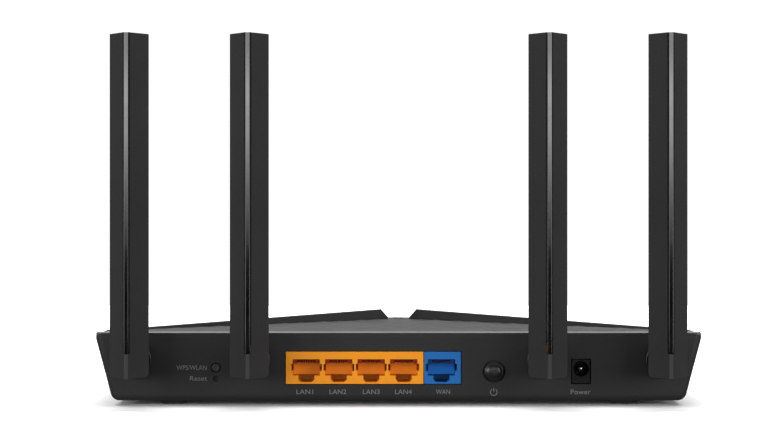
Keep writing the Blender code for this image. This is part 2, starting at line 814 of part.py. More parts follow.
def reset_switch():
    front = REAR_Y - WALL - GAP - RESET_SWITCH_BACK
    body = (
        add_box,
        (WPS_X - SWITCH_HALF, WPS_X + SWITCH_HALF),
        (front - RESET_SWITCH_LENGTH, front),
        (STAND + BOARD_H[1] + GAP, STAND + RESET_SWITCH_TOP_H),
    )
    return drawn("reset_switch", body)


# Inside


def main_board():
    x_range = (-BOARD_HALF, BOARD_HALF)
    y_range = (depth_y(BOARD_DEPTHS[1]), depth_y(BOARD_DEPTHS[0]))
    mesh = drawn("main_board", (add_box, x_range, y_range, (STAND + BOARD_H[0], STAND + BOARD_H[1])))
    low, high = BOARD_H[0] - OVERCUT, BOARD_H[1] + OVERCUT
    holes = [on_floor(x, d, BOARD_HOLE, low, high) for x, d in corners(STANDOFF_X, STANDOFF_DEPTHS)]
    return cut(mesh, *holes)


def heatsink():
    """A finned block over the main chip, its fins running front to back."""
    base, top = STAND + BOARD_H[1] + HEATSINK_LIFT, STAND + FIN_TOP_H
    valley = base + HEATSINK_BASE
    half = (FIN_COUNT - 1) / 2 * FIN_PITCH + FIN_HALF
    outline = [(half, base), (half, top)]
    for i in reversed(range(FIN_COUNT - 1)):
        middle = (i - (FIN_COUNT - 2) / 2) * FIN_PITCH
        right = middle + FIN_PITCH / 2 - FIN_HALF
        left = middle - FIN_PITCH / 2 + FIN_HALF
        outline += [(right, top), (right, valley), (left, valley), (left, top)]
    outline += [(-half, top), (-half, base)]
    front, rear = depth_y(HEATSINK_DEPTHS[1]), depth_y(HEATSINK_DEPTHS[0])
    return drawn("heatsink", (add_prism, outline, "Y", front, rear))


def radio_shield(sign):
    """A folded tin can over one radio, open underneath."""
    x_range = (sign * SHIELD_X - SHIELD_HALF, sign * SHIELD_X + SHIELD_HALF)
    y_range = (depth_y(SHIELD_DEPTHS[1]), depth_y(SHIELD_DEPTHS[0]))
    low, high = STAND + BOARD_H[1] + GAP, STAND + BOARD_H[1] + SHIELD_TOP
    inside = (
        add_box,
        (x_range[0] + SHIELD_SKIN, x_range[1] - SHIELD_SKIN),
        (y_range[0] + SHIELD_SKIN, y_range[1] - SHIELD_SKIN),
        (low - OVERCUT, high - SHIELD_SKIN),
    )
    return cut(drawn("radio_shield", (add_box, x_range, y_range, (low, high))), inside)


def line_transformer(x):
    x_range = (x - TRANSFORMER_HALF, x + TRANSFORMER_HALF)
    y_range = (depth_y(TRANSFORMER_DEPTHS[1]), depth_y(TRANSFORMER_DEPTHS[0]))
    z_range = (STAND + BOARD_H[1] + GAP, STAND + BOARD_H[1] + TRANSFORMER_TOP)
    return drawn("line_transformer", (add_box, x_range, y_range, z_range))


def coax(x):
    """A thin lead from the back of a swivel mount to the nearer radio: its side, or its rear edge."""
    side = math.copysign(1.0, x)
    start = (x, REAR_Y - WALL - GAP - FLANGE_THICK - GAP - 0.5, STAND + PIVOT_H)
    leaving = (x, start[1] - COAX_LEAVES, start[2])
    board = STAND + BOARD_H[1] + COAX_LIFT
    if abs(x) > SHIELD_X + SHIELD_HALF:
        end = (side * (SHIELD_X + SHIELD_HALF + GAP + COAX_RADIUS), depth_y(COAX_SIDE_DEPTH), board)
        arriving = (end[0] + side * COAX_ARRIVES, end[1], board)
    else:
        end_x = side * (SHIELD_X + COAX_REAR_X)
        end = (end_x, depth_y(SHIELD_DEPTHS[0]) + GAP + COAX_RADIUS, board)
        arriving = (end[0], end[1] + COAX_ARRIVES, board)
    curve = bpy.data.curves.new("coax", "CURVE")
    curve.dimensions = "3D"
    curve.bevel_depth = COAX_RADIUS * MM
    curve.bevel_resolution = 1
    curve.use_fill_caps = True
    spline = curve.splines.new("POLY")
    spline.points.add(COAX_STEPS)
    for i in range(COAX_STEPS + 1):
        t = i / COAX_STEPS
        weights = ((1 - t) ** 3, 3 * t * (1 - t) ** 2, 3 * t * t * (1 - t), t**3)
        handles = (start, leaving, arriving, end)
        point = [sum(w * handle[k] for w, handle in zip(weights, handles)) * MM for k in range(3)]
        spline.points[i].co = (*point, 1.0)
    return curve


# Antennas. They are drawn about the fold axis: y from the hinge pin, z from it too.


def section():
    """The antenna's cross-section: flat towards the wall, upright sides, then a wedge to the ridge."""
    chamfer = 0.8
    half = [
        (ANTENNA_HALF - chamfer, 0.0),
        (ANTENNA_HALF, chamfer),
        (ANTENNA_HALF, SIDE_DEPTH),
        (RIDGE_HALF, RIDGE_DEPTH),
    ]
    points = [(u, v - PIVOT_DEPTH) for u, v in half]
    return points + [(-u, v) for u, v in reversed(points)]


def above_pivot(height):
    return height - PIVOT_H


def antenna_sleeve():
    bottom, top = above_pivot(ANTENNA_BOTTOM_H), above_pivot(ANTENNA_TOP_H)
    mesh = drawn("antenna_sleeve", (add_prism, section(), "Z", bottom, top))
    front = -PIVOT_DEPTH
    groove_floor = RIDGE_DEPTH - STRIP_DEPTH - GAP - PIVOT_DEPTH
    groove = (
        add_box,
        (-ANTENNA_HALF, ANTENNA_HALF),
        (groove_floor, groove_floor + 5.0),
        (above_pivot(STRIP_BOTTOM_H) - GAP, top + OVERCUT),
    )
    mesh = cut(mesh, groove)
    ahead, below = front - OVERCUT, bottom - OVERCUT
    toe = [(ahead, below), (front + TOE_RADIUS, below)]
    toe += arc((front + TOE_RADIUS, bottom + TOE_RADIUS), TOE_RADIUS, 270, 180, 6)
    toe += [(ahead, bottom + TOE_RADIUS)]
    mesh = cut(mesh, (add_prism, toe, "X", -10.0, 10.0))
    room = TONGUE_RADIUS + GAP
    slot = [(ahead, below), (room, below)] + arc((0, 0), room, 0, 90, 6)
    slot += [(ahead, room)]
    mesh = cut(mesh, (add_prism, slot, "X", -SLOT_HALF, SLOT_HALF))
    hollow = (
        add_box,
        (-SLEEVE_HOLLOW_HALF, SLEEVE_HOLLOW_HALF),
        (front + SLEEVE_HOLLOW_DEPTHS[0], front + SLEEVE_HOLLOW_DEPTHS[1]),
        (TONGUE_RADIUS - 0.7, above_pivot(SLEEVE_HOLLOW_TOP_H)),
    )
    mesh = cut(mesh, hollow)
    pin_hole = circle((0, 0), PIN_RADIUS + GAP, 12)
    return cut(mesh, (add_prism, pin_hole, "X", -PIN_HALF - GAP, PIN_HALF + GAP))


def antenna_strip():
    """The glossy strip let into the ridge, from above the hinge to the tip."""
    slope = (ANTENNA_HALF - RIDGE_HALF) / (RIDGE_DEPTH - SIDE_DEPTH)
    back = RIDGE_DEPTH - PIVOT_DEPTH
    root_half = RIDGE_HALF + STRIP_DEPTH * slope
    outline = [
        (-root_half, back - STRIP_DEPTH),
        (root_half, back - STRIP_DEPTH),
        (RIDGE_HALF, back),
        (-RIDGE_HALF, back),
    ]
    ends = (above_pivot(STRIP_BOTTOM_H), above_pivot(ANTENNA_TOP_H))
    return drawn("antenna_strip", (add_prism, outline, "Z", *ends))


def antenna_radiator():
    """The printed strip that does the radiating, in the sleeve's hollow."""
    ends = (RADIATOR_BOTTOM, above_pivot(RADIATOR_TOP_H))
    return drawn("antenna_radiator", (add_box, (-RADIATOR_HALF, RADIATOR_HALF), RADIATOR_Y, ends))


def hinge_pin():
    outline = circle((0, 0), PIN_RADIUS, 12)
    return drawn("hinge_pin", (add_prism, outline, "X", -PIN_HALF, PIN_HALF))


def antenna_mount():
    """The swivel: a flange inside the wall, a round cover outside, a neck and the hinge tongue.

    It is drawn about its own axis, y from the wall's outer face.
    """
    inside = -WALL - GAP
    profile = [
        (inside - FLANGE_THICK, FLANGE_RADIUS),
        (inside, FLANGE_RADIUS),
        (inside, SHAFT_RADIUS),
        (GAP, SHAFT_RADIUS),
        (GAP, MOUNT_RADIUS),
        (GAP + MOUNT_THICK - 0.6, MOUNT_RADIUS),
        (GAP + MOUNT_THICK, MOUNT_RADIUS - 0.6),
        (GAP + MOUNT_THICK, NECK_RADIUS),
        (HUB_END - 0.6, NECK_RADIUS),
        (HUB_END, NECK_RADIUS - 0.6),
    ]
    mesh = drawn("antenna_mount", (add_turned, (0, 0), profile))
    pivot = ANTENNA_BEHIND + PIVOT_DEPTH
    tongue = [(HUB_END - 3.0, -TONGUE_RADIUS)] + arc((pivot, 0), TONGUE_RADIUS, -90, 90, 10)
    tongue += [(HUB_END - 3.0, TONGUE_RADIUS)]
    mesh = joined(mesh, (add_prism, tongue, "X", -TONGUE_HALF, TONGUE_HALF))
    pin_hole = circle((pivot, 0), PIN_RADIUS + GAP, 12)
    mesh = cut(mesh, (add_prism, pin_hole, "X", -5.0, 5.0))
    bore = [(y, LEAD_BORE) for y in (inside - FLANGE_THICK - OVERCUT, HUB_END - 4.0)]
    return cut(mesh, (add_turned, (0, 0), bore, 10))


# Putting it together


def build_casing(look):
    place("bottom_case", bottom_case(), look["casing"])
    place("top_cover", top_cover(), look["deck"])
    place("wing_left", wing(-1), look["wing"])
    place("wing_right", wing(1), look["wing"])
    place("light_guide", light_guide(), look["clear"])
    sole, screw = foot(), case_screw()
    names = ("rear_left", "rear_right", "front_left", "front_right")
    for name, (x, depth) in zip(names, corners(FOOT_X, FOOT_DEPTHS)):
        place(f"foot_{name}", sole, look["rubber"], (x, depth_y(depth), 0.0))
    for name, (x, depth) in zip(names, corners(SCREW_X, SCREW_DEPTHS)):
        place(f"case_screw_{name}", screw, look["steel"], (x, depth_y(depth), STAND + SCREW_SEAT_H))


def build_sockets(look):
    place("lan_jack_block", jack_block(LAN_BLOCK_X, LAN_X), look["orange"])
    place("wan_jack_block", jack_block(WAN_BLOCK_X, [WAN_X]), look["blue"])
    comb = contact_comb()
    face = REAR_Y + JACK_PROUD
    for number, x in enumerate(LAN_X, 1):
        place(f"lan_contacts_{number}", comb, look["gold"], (x, face, STAND))
    place("wan_contacts", comb, look["gold"], (WAN_X, face, STAND))
    place("power_jack", power_jack(), look["black_plastic"])
    place("power_jack_pin", power_jack_pin(), look["steel"])


def build_buttons(look):
    place("power_button", power_button(), look["gloss"], (POWER_X, REAR_Y, STAND + POWER_H))
    place("wps_button", wps_button(), look["casing"], (WPS_X, REAR_Y, STAND + WPS_H))
    place("reset_plunger", reset_plunger(), look["black_plastic"], (WPS_X, REAR_Y, STAND + RESET_H))
    place("power_switch", power_switch(), look["black_plastic"])
    place("wps_switch", wps_switch(), look["black_plastic"])
    place("reset_switch", reset_switch(), look["black_plastic"])


def build_inside(look):
    place("main_board", main_board(), look["board"])
    place("heatsink", heatsink(), look["aluminium"])
    place("radio_shield_left", radio_shield(-1), look["tin"])
    place("radio_shield_right", radio_shield(1), look["tin"])
    place("line_transformer_lan", line_transformer(TRANSFORMER_LAN_X), look["black_plastic"])
    place("line_transformer_wan", line_transformer(TRANSFORMER_WAN_X), look["black_plastic"])


def build_antennas(look):
    mount, sleeve, strip = antenna_mount(), antenna_sleeve(), antenna_strip()
    radiator, pin = antenna_radiator(), hinge_pin()
    for number, x in enumerate(ANTENNA_X, 1):
        name = f"antenna_{number}"
        swivel = axis_empty(f"{name}_swivel_axis", (x, REAR_Y, STAND + PIVOT_H))
        fold = axis_empty(f"{name}_fold_axis", (0.0, ANTENNA_BEHIND + PIVOT_DEPTH, 0.0), swivel)
        here = (0.0, 0.0, 0.0)
        place(f"{name}_mount", mount, look["black_plastic"], here, swivel)
        place(f"{name}_sleeve", sleeve, look["sleeve"], here, fold)
        place(f"{name}_strip", strip, look["gloss"], here, fold)
        place(f"{name}_radiator", radiator, look["board"], here, fold)
        place(f"{name}_hinge_pin", pin, look["steel"], here, fold)
        lead = coax(x)
        lead.materials.append(look["coax"])
        bpy.context.scene.collection.objects.link(bpy.data.objects.new(f"{name}_coax", lead))


def main():
    for old in list(bpy.data.objects):
        bpy.data.objects.remove(old)
    look = make_materials()
    build_casing(look)
    build_sockets(look)
    build_buttons(look)
    build_inside(look)
    build_antennas(look)


main()
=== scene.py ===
"""The looks of a wireless router with four folding antennas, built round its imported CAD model.

The front faces -Y and the wall with the sockets faces +Y. Lengths here are millimetres, and MM turns
them into metres. Heights with a name ending in _H are counted from the underside of the bottom case.
"""

import json
from math import ceil, cos, radians, sin, sqrt, tan

import bmesh
import bpy
from mathutils import Matrix, Vector


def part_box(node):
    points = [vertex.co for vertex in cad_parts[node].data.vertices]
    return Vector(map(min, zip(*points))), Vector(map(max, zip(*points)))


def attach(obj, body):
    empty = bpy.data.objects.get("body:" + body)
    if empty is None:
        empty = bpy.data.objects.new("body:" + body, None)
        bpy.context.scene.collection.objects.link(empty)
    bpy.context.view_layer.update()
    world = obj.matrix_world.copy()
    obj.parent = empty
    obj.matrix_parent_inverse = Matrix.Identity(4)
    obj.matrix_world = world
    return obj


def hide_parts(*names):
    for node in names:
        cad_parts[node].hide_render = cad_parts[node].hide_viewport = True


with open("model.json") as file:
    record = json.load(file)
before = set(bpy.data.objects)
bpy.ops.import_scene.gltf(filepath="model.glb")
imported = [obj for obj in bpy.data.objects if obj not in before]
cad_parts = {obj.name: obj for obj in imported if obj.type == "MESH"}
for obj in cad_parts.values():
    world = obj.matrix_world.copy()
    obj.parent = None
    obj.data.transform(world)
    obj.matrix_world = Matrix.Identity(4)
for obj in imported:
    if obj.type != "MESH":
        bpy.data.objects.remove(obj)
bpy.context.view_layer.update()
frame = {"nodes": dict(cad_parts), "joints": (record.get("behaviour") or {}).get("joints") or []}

MM = 0.001
OVERCUT = 1.0


def span(node):
    """A CAD node's lowest and highest corners, in millimetres."""
    low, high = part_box(node)
    return low / MM, high / MM


def middle(node):
    low, high = span(node)
    return (low + high) / 2


JOINTS = {joint["name"]: joint for joint in frame["joints"]}

# Casing, from the frame
CASE_LOW, CASE_HIGH = span("bottom_case")
LID_HIGH = span("top_cover")[1]
STAND = CASE_LOW.z
REAR_Y = CASE_HIGH.y
FRONT_Y = CASE_LOW.y
CASE_HALF = CASE_HIGH.x
CASE_DEPTH = REAR_Y - FRONT_Y
RIM_H = LID_HIGH.z - STAND
DECK_H = RIM_H - 0.5
LID_EDGE = 1.1
LID_PLATE = 2.1
SEAM = 0.04
FRONT_DROP = 8.1
PARTING_H = RIM_H - LID_EDGE
UNDER_H = RIM_H - LID_PLATE
SHOULDER_H = 27.0
SIDE_INSET = 7.2
FLOOR = 2.0
WALL = 2.2
GAP = 0.3
BOTTOM_RADIUS = 2.8
REAR_CORNER = 3.2
FRONT_CORNER = 6.0
LEAST_CORNER = 1.0
CORNER_STEPS = 8
LIP_DEPTH = 2.0
LIP_WALL = 1.5
LIP_TAPER = 0.5
LIP_ROOT = 0.2
TRAY_CHAMFER = (0.15, 1.0)
LID_RECESS = 0.7
# The lid's edge, as insets at the sides and the rear, and how far below the rim
LID_EDGE_PROFILE = ((0.02, LID_RECESS, 0.75), (0.04, 0.0, 0.71), (0.1, 0.04, 0.62), (0.3, 0.16, 0.5))
LID_EDGE_PROFILE += ((0.65, 0.95, -0.02), (0.95, 1.2, 0.0))

# Relief of the lid's deck: diamonds that are long from back to front
DIAMOND = 11.7
DIAMOND_LONG = 32.0
DIAMOND_GROOVE = 0.3
DIAMOND_EDGE = 0.06
DIAMOND_RISE = 0.8
DIAMOND_LEAST_AREA = 1.5
DECK_BORDER = 1.4

# Level deck on the falling lid: a V between the wings and a channel to the front
DECK_START = 1.2
DECK_CORNER_DEPTH = 11.8
DECK_CHANNEL = 4.95
DECK_HOLLOW_DEPTHS = (45.0, 131.6)
DECK_HOLLOW_INSET = 3.0

# Status lamps
LAMP_COUNT = 5
LAMP_FIRST_DEPTH = 118.0
LAMP_PITCH = 2.9
LAMP_SIZE = (4.0, 1.0)
LAMP_REACH = (3.0, 2.0)

# Wings, whose sides lean in towards the top
WING_OUTER_X = 128.4
WING_INNER_X = 5.0
WING_TIP_DEPTH = 12.2
WING_FRONT_DEPTH = 133.8
WING_SWEEP = 0.84
WING_TIP_H = 29.75
WING_RISE = 0.0376
WING_FALL = 0.06
LEAN_BACK = 0.8
LEAN_OUTER = 0.6
LEAN_FRONT = 1.2
LEAN_INNER = 3.2
WING_CORNERS = (0.5, 6.0, 1.6, 1.6)
WING_ROUND = 0.4
WING_GAP = 0.12
WING_ABOVE_DECK = 0.1
WING_LEAST_SIDE = 0.7
WING_LEAST_RISE = 0.05

# Sockets
JACK_PORT_DEPTH = 14.0
PORT_HALF = 5.85
PORT_FLOOR_H = 10.9
# Half of the mouth of a network socket, from its top past the notch to the latch
PORT_TOP = ((PORT_HALF, 17.9), (PORT_HALF, 15.9), (6.65, 15.9), (6.65, 12.9), (PORT_HALF, 12.9))
PORT_LATCH = ((PORT_HALF, PORT_FLOOR_H), (3.45, PORT_FLOOR_H), (3.45, 9.1), (2.4, 8.1))
PORT_ROUND = 0.2
CARRIER_H = (16.2, 17.84)
CARRIER_ROOF = 0.3
CARRIER_SLOT = 0.72
CARRIER_SUNK = 1.0
CARRIER_GAP = 0.06
CARRIER_BACK_GAP = 0.05
PLUG_LENGTH = 8.0
BACK_PLATE = 0.4
BACK_GAP = 0.1
CONTACTS = 8
CONTACT_PITCH = 1.02
CONTACT_WIDTH = 0.46
CONTACT_THICK = 0.32
CONTACT_SUNK = 0.8
CONTACT_BEND = 0.6
# A spring's line, as how far behind the socket's face and how high
CONTACT_ROOT = ((13.2, 16.9), (9.5, 16.75), (3.4, 17.05), (2.2, 17.0))
CONTACT_CURL = ((1.75, 16.6), (2.3, 16.35), (4.6, 16.32))

# Power inlet and buttons
INLET_BORE_H = 13.7
INLET_BORE = 3.15
INLET_BORE_DEPTH = 10.0
INLET_FLARE = 0.35
INLET_PIN = 1.1
TIP_RADIUS = 0.05
RESET_HOLE = 1.05
HOLE_FLARE = 0.35
SMALL_FLARE = 0.2
POWER_COLLAR = 1.0
POWER_FLANGE = 1.4
POWER_STEM = 1.3
POWER_CLEAR = 0.4
POWER_DOME = 0.9
POWER_EDGE = 0.6
DOME_STEPS = 12
DOME_TIP = 0.12
SMALL_COLLAR = 0.8
SMALL_FLANGE = 0.8
SMALL_STEM = 0.8

# Antennas
ANTENNAS = (1, 2, 3, 4)
SIDE_DEPTH = 2.0
RIDGE_DEPTH = 13.5
RIDGE_HALF = 0.825
RIDGE_REACH = 0.3
FACES_BACK = 0.95
PIVOT_DEPTH = 5.5
TOE_RADIUS = 5.0
TONGUE_HALF = 2.0
TONGUE_RADIUS = 4.0
PIN_RADIUS = 1.3
PIN_HALF = 4.3
PIN_CHAMFER = 0.25
STRIP_DEPTH = 0.9
MOUNT_RADIUS = 8.0
MOUNT_THICK = 2.5
NECK_RADIUS = 5.6
SHAFT_RADIUS = 5.0
FLANGE_RADIUS = 7.0
FLANGE_THICK = 1.6
HUB_END = 13.0
TONGUE_ROOT = 3.0
# The swivel's raised rim, dish and hub edge, as how far behind the face and how far in
MOUNT_DISH = 0.9
MOUNT_RIM = ((0.45, 0.0), (0.12, 0.12), (0.0, 0.4), (0.12, 0.65), (MOUNT_DISH, 0.85))
HUB_EDGE = ((0.7, 0.0), (0.2, 0.2), (0.0, 0.7))
FLANGE_CHAMFER = 0.3
MOUNT_CHAMFER = 0.2
NECK_FILLET = (0.4, 0.5)
LEAD_BORE = 1.6
SLEEVE_CHAMFER = 0.8
SLEEVE_ROUNDS = (0.5, 0.5, 0.9, 0.12)
SLEEVE_EDGE = 0.15
SLEEVE_HOLLOW_HALF = 3.4
SLEEVE_HOLLOW_DEPTHS = (1.8, 7.2)
SLEEVE_HOLLOW_ROOM = 2.0
SLEEVE_HOLLOW_DROP = 0.7
STRIP_EDGES = (0.12, 0.3)
STRIP_ROUNDS = (0.05, 0.15)

# Underside
SCREWS = (112.0, (44.0, 112.0))
SCREW_WELL = 3.3
SCREW_WELL_H = 2.6
SCREW_BORE = 1.9
BOSS_RADIUS = 4.2
BOSS_TOP_H = 14.0
POST_RADIUS = 3.6
POST_HOLE = 1.8
POST_HOLE_TOP_H = 20.0
STANDOFFS = (86.0, (12.0, 116.0))
STANDOFF_RADIUS = 3.0
BOARD_LOW_H = 5.4
FEET = (98.0, (14.0, 121.0))
FOOT_RADIUS = 6.0
FOOT_SUNK = 0.8
FOOT_ROUND = 0.5
FOOT_CHAMFER = 0.15
VENT_HALF_COUNT = 6
VENT_PITCH = 6.5
VENT_SIZE = (2.2, 24.0)
VENT_DEPTHS = (38.0, 74.0)


def depth_y(depth):
    """The Y of a place this far forward of the rear wall."""
    return REAR_Y - depth


def fall_at(y):
    """How far the rim has fallen at this Y, as a number below zero."""
    return -FRONT_DROP * (REAR_Y - y) / CASE_DEPTH


# Mesh building, in millimetres


def add_loft(bm, loops):
    """A closed shell through loops of equally many points."""
    rings = [[bm.verts.new(point) for point in loop] for loop in loops]
    for low, high in zip(rings, rings[1:]):
        for i, corner in enumerate(low):
            j = (i + 1) % len(low)
            bm.faces.new((corner, low[j], high[j], high[i]))
    bm.faces.new(rings[0][::-1])
    bm.faces.new(rings[-1])


def add_prism(bm, outline, axis, low, high):
    """An outline of (y, z), (x, z) or (x, y) points pushed along X, Y or Z."""
    place = {
        "X": lambda u, v, w: (w, u, v),
        "Y": lambda u, v, w: (u, w, v),
        "Z": lambda u, v, w: (u, v, w),
    }[axis]
    add_loft(bm, [[place(u, v, w) for u, v in outline] for w in (low, high)])


def add_box(bm, x, y, z):
    corners = [(x[0], y[0]), (x[1], y[0]), (x[1], y[1]), (x[0], y[1])]
    add_prism(bm, corners, "Z", *z)


def arc(centre, radius, start, end, steps):
    """Points on an arc between two angles in degrees."""
    points = []
    for i in range(steps + 1):
        angle = radians(start + (end - start) * i / steps)
        points.append((centre[0] + radius * cos(angle), centre[1] + radius * sin(angle)))
    return points


def circle(centre, radius, steps=48):
    return arc(centre, radius, 0, 360, steps)[:-1]


def rounded(points, radius, steps=4, closed=True):
    """A line with its corners rounded, by one radius or by one for each corner."""
    count = len(points)
    radii = [radius] * count if isinstance(radius, (int, float)) else radius
    result = []
    for i, point in enumerate(points):
        if radii[i] == 0 or (not closed and i in (0, count - 1)):
            result.append(point)
            continue
        here = Vector(point)
        before = Vector(points[i - 1]) - here
        after = Vector(points[(i + 1) % count]) - here
        half_angle = before.angle(after) / 2
        back = min(radii[i] / tan(half_angle), 0.49 * before.length, 0.49 * after.length)
        start = here + before.normalized() * back
        end = here + after.normalized() * back
        for k in range(steps + 1):
            t = k / steps
            result.append(tuple(start * (1 - t) ** 2 + here * (2 * t * (1 - t)) + end * t**2))
    return result


def add_turned(bm, centre, profile, steps=48, upright=False):
    """A turned piece along Y, or upright. The profile is (place, radius) pairs."""
    loops = []
    for place, radius in profile:
        ring = circle(centre, radius, steps)
        loops.append([(u, v, place) if upright else (u, place, v) for u, v in ring])
    add_loft(bm, loops)


def quarter_round(degrees=range(0, 91, 15)):
    """Steps of a rounded edge of radius 1: how far past one end, and short of the other."""
    return [(1 - cos(radians(d)), 1 - sin(radians(d))) for d in degrees]


def mirrored(half, x=0.0):
    """A closed outline, symmetric about x, from its right half."""
    return [(x + u, v) for u, v in half] + [(x - u, v) for u, v in reversed(half)]


def thick_line(points, thickness):
    """The outline of a bent strip that follows a line."""
    sides = ([], [])
    for i, point in enumerate(points):
        here = Vector(point)
        ahead = Vector(points[min(i + 1, len(points) - 1)]) - Vector(points[max(i - 1, 0)])
        across = Vector((-ahead.y, ahead.x)).normalized() * thickness / 2
        sides[0].append(tuple(here + across))
        sides[1].append(tuple(here - across))
    return sides[0] + sides[1][::-1]


def finished(bm, name):
    """The mesh of a bmesh, in metres and with its faces turned out."""
    bmesh.ops.recalc_face_normals(bm, faces=bm.faces)
    bmesh.ops.scale(bm, vec=(MM, MM, MM), verts=bm.verts)
    mesh = bpy.data.meshes.new(name)
    bm.to_mesh(mesh)
    bm.free()
    return mesh


def drawn(name, *shapes):
    """One mesh of shapes, each a function and what it takes after the bmesh."""
    bm = bmesh.new()
    for make, *values in shapes:
        make(bm, *values)
    return finished(bm, name)


def placed(name, data):
    thing = bpy.data.objects.new(name, data)
    bpy.context.scene.collection.objects.link(thing)
    return thing


def evaluated_mesh(thing):
    depsgraph = bpy.context.evaluated_depsgraph_get()
    return bpy.data.meshes.new_from_object(thing.evaluated_get(depsgraph))


def combined(mesh, tool, operation):
    body, other = placed("body", mesh), placed("other", tool)
    modifier = body.modifiers.new("boolean", "BOOLEAN")
    modifier.solver = "EXACT"
    modifier.operation = operation
    modifier.object = other
    result = evaluated_mesh(body)
    for each in (body, other):
        bpy.data.objects.remove(each)
    for old in (mesh, tool):
        bpy.data.meshes.remove(old)
    return result


def cut(mesh, *shapes):
    return combined(mesh, drawn("tool", *shapes), "DIFFERENCE")


def joined(mesh, *shapes):
    return combined(mesh, drawn("tool", *shapes), "UNION")


# Node materials


def add_node(tree, kind, inputs=(), **settings):
    """A shader node, with its inputs set to values or linked to sockets."""
    node = tree.nodes.new("ShaderNode" + kind)
    for key, value in settings.items():
        setattr(node, key, value)
    for key, value in dict(inputs).items():
        if isinstance(value, bpy.types.NodeSocket):
            tree.links.new(value, node.inputs[key])
        else:
            node.inputs[key].default_value = value
    return node


def noise(tree, scale, detail=2.0, stretch=(1.0, 1.0, 1.0), shift=0.0):
    """Noise in the object's own space, with a scale in features for each metre."""
    coordinates = add_node(tree, "TexCoord").outputs["Object"]
    place = {"Vector": coordinates, "Scale": stretch, "Location": (shift, shift, shift)}
    mapped = add_node(tree, "Mapping", place).outputs["Vector"]
    values = {"Vector": mapped, "Scale": scale, "Detail": detail}
    return add_node(tree, "TexNoise", values).outputs["Fac"]


def between(tree, value, low=0.0, high=1.0, start=0.3, end=0.7):
    """A value from the noise's range brought to another."""
    numbers = {"Value": value, "From Min": start, "From Max": end, "To Min": low, "To Max": high}
    return add_node(tree, "MapRange", numbers).outputs["Result"]


def mixed(tree, factor, first, second):
    node = add_node(tree, "Mix", data_type="RGBA")
    tree.links.new(factor, node.inputs["Factor"])
    for key, value in (("A", first), ("B", second)):
        socket = next(s for s in node.inputs if s.name == key and s.type == "RGBA")
        if isinstance(value, bpy.types.NodeSocket):
            tree.links.new(value, socket)
        else:
            socket.default_value = (*value, 1.0)
    return next(s for s in node.outputs if s.type == "RGBA")


def shaded(share, colour):
    return tuple(share * value for value in colour)


def start_material(name, roughness, metallic=0.0, specular=0.5, **more):
    material = bpy.data.materials.new(name)
    material.use_nodes = True
    shader = material.node_tree.nodes["Principled BSDF"]
    values = {"Roughness": roughness, "Metallic": metallic, "Specular IOR Level": specular}
    for key, value in {**values, **more}.items():
        shader.inputs[key].default_value = value
    return material, material.node_tree, shader


def feed(tree, shader, colour, roughness):
    tree.links.new(colour, shader.inputs["Base Color"])
    tree.links.new(roughness, shader.inputs["Roughness"])


def bumped(tree, shader, height, strength, distance):
    """Makes a height in millimetres the surface's fine relief."""
    numbers = {"Height": height, "Strength": strength, "Distance": distance * MM}
    bump = add_node(tree, "Bump", numbers)
    tree.links.new(bump.outputs["Normal"], shader.inputs["Normal"])


def plastic(name, colour, roughness, grain, specular, vary=0.12, fineness=2600.0):
    """Moulded plastic: faint flow marks, a fine spark-eroded grain and uneven gloss."""
    material, tree, shader = start_material(name, roughness, specular=specular)
    flow = noise(tree, 22.0, detail=3.0)
    speck = noise(tree, 900.0, detail=3.0, shift=3.1)
    tone = mixed(tree, between(tree, flow), shaded(1 - vary, colour), shaded(1 + vary, colour))
    speckled = mixed(tree, between(tree, speck, 0.0, 0.45), tone, shaded(1 + 2 * vary, colour))
    smear = noise(tree, 70.0, detail=4.0, shift=7.7)
    feed(tree, shader, speckled, between(tree, smear, roughness - 0.05, roughness + 0.05))
    bumped(tree, shader, noise(tree, fineness, shift=1.3), grain, 0.02)
    return material


def metal(name, colour, roughness, brushed):
    """Metal with fine lines along one direction."""
    material, tree, shader = start_material(name, roughness, metallic=1.0)
    lines = noise(tree, 1500.0, detail=4.0, stretch=brushed)
    stain = noise(tree, 180.0, detail=3.0, shift=2.2)
    stained = mixed(tree, between(tree, stain), shaded(0.86, colour), colour)
    feed(tree, shader, stained, between(tree, lines, roughness - 0.08, roughness + 0.1))
    bumped(tree, shader, lines, 0.2, 0.01)
    return material


def circuit_board():
    """Solder mask with copper tracks showing through, and plated holes."""
    material, tree, shader = start_material("circuit_board", 0.35)
    coordinates = add_node(tree, "TexCoord").outputs["Object"]
    grid = {"Vector": coordinates, "Scale": 190.0}
    cells = add_node(tree, "TexVoronoi", grid, feature="F1", distance="CHEBYCHEV")
    distance = cells.outputs["Distance"]
    tracks = add_node(tree, "Math", {0: distance, 1: 30.0}, operation="MULTIPLY")
    stripes = add_node(tree, "Math", {0: tracks.outputs[0]}, operation="SINE").outputs[0]
    copper = between(tree, stripes, 0.0, 1.0, 0.2, 0.4)
    green = mixed(tree, copper, (0.006, 0.075, 0.03), (0.018, 0.17, 0.06))
    pads = between(tree, distance, 1.0, 0.0, 0.07, 0.09)
    shine = between(tree, pads, 0.4, 0.25, 0.0, 1.0)
    feed(tree, shader, mixed(tree, pads, green, (0.72, 0.69, 0.6)), shine)
    bumped(tree, shader, copper, 0.4, 0.04)
    return material


def milky_clear():
    """Milky light-guide plastic, uneven inside."""
    inside = {"Transmission Weight": 0.25, "Subsurface Weight": 0.3, "Subsurface Scale": MM}
    material, tree, shader = start_material("milky_clear", 0.22, **inside)
    cloud = noise(tree, 420.0, detail=3.0)
    haze = mixed(tree, between(tree, cloud), (0.42, 0.44, 0.46), (0.62, 0.64, 0.66))
    feed(tree, shader, haze, between(tree, cloud, 0.18, 0.3))
    return material


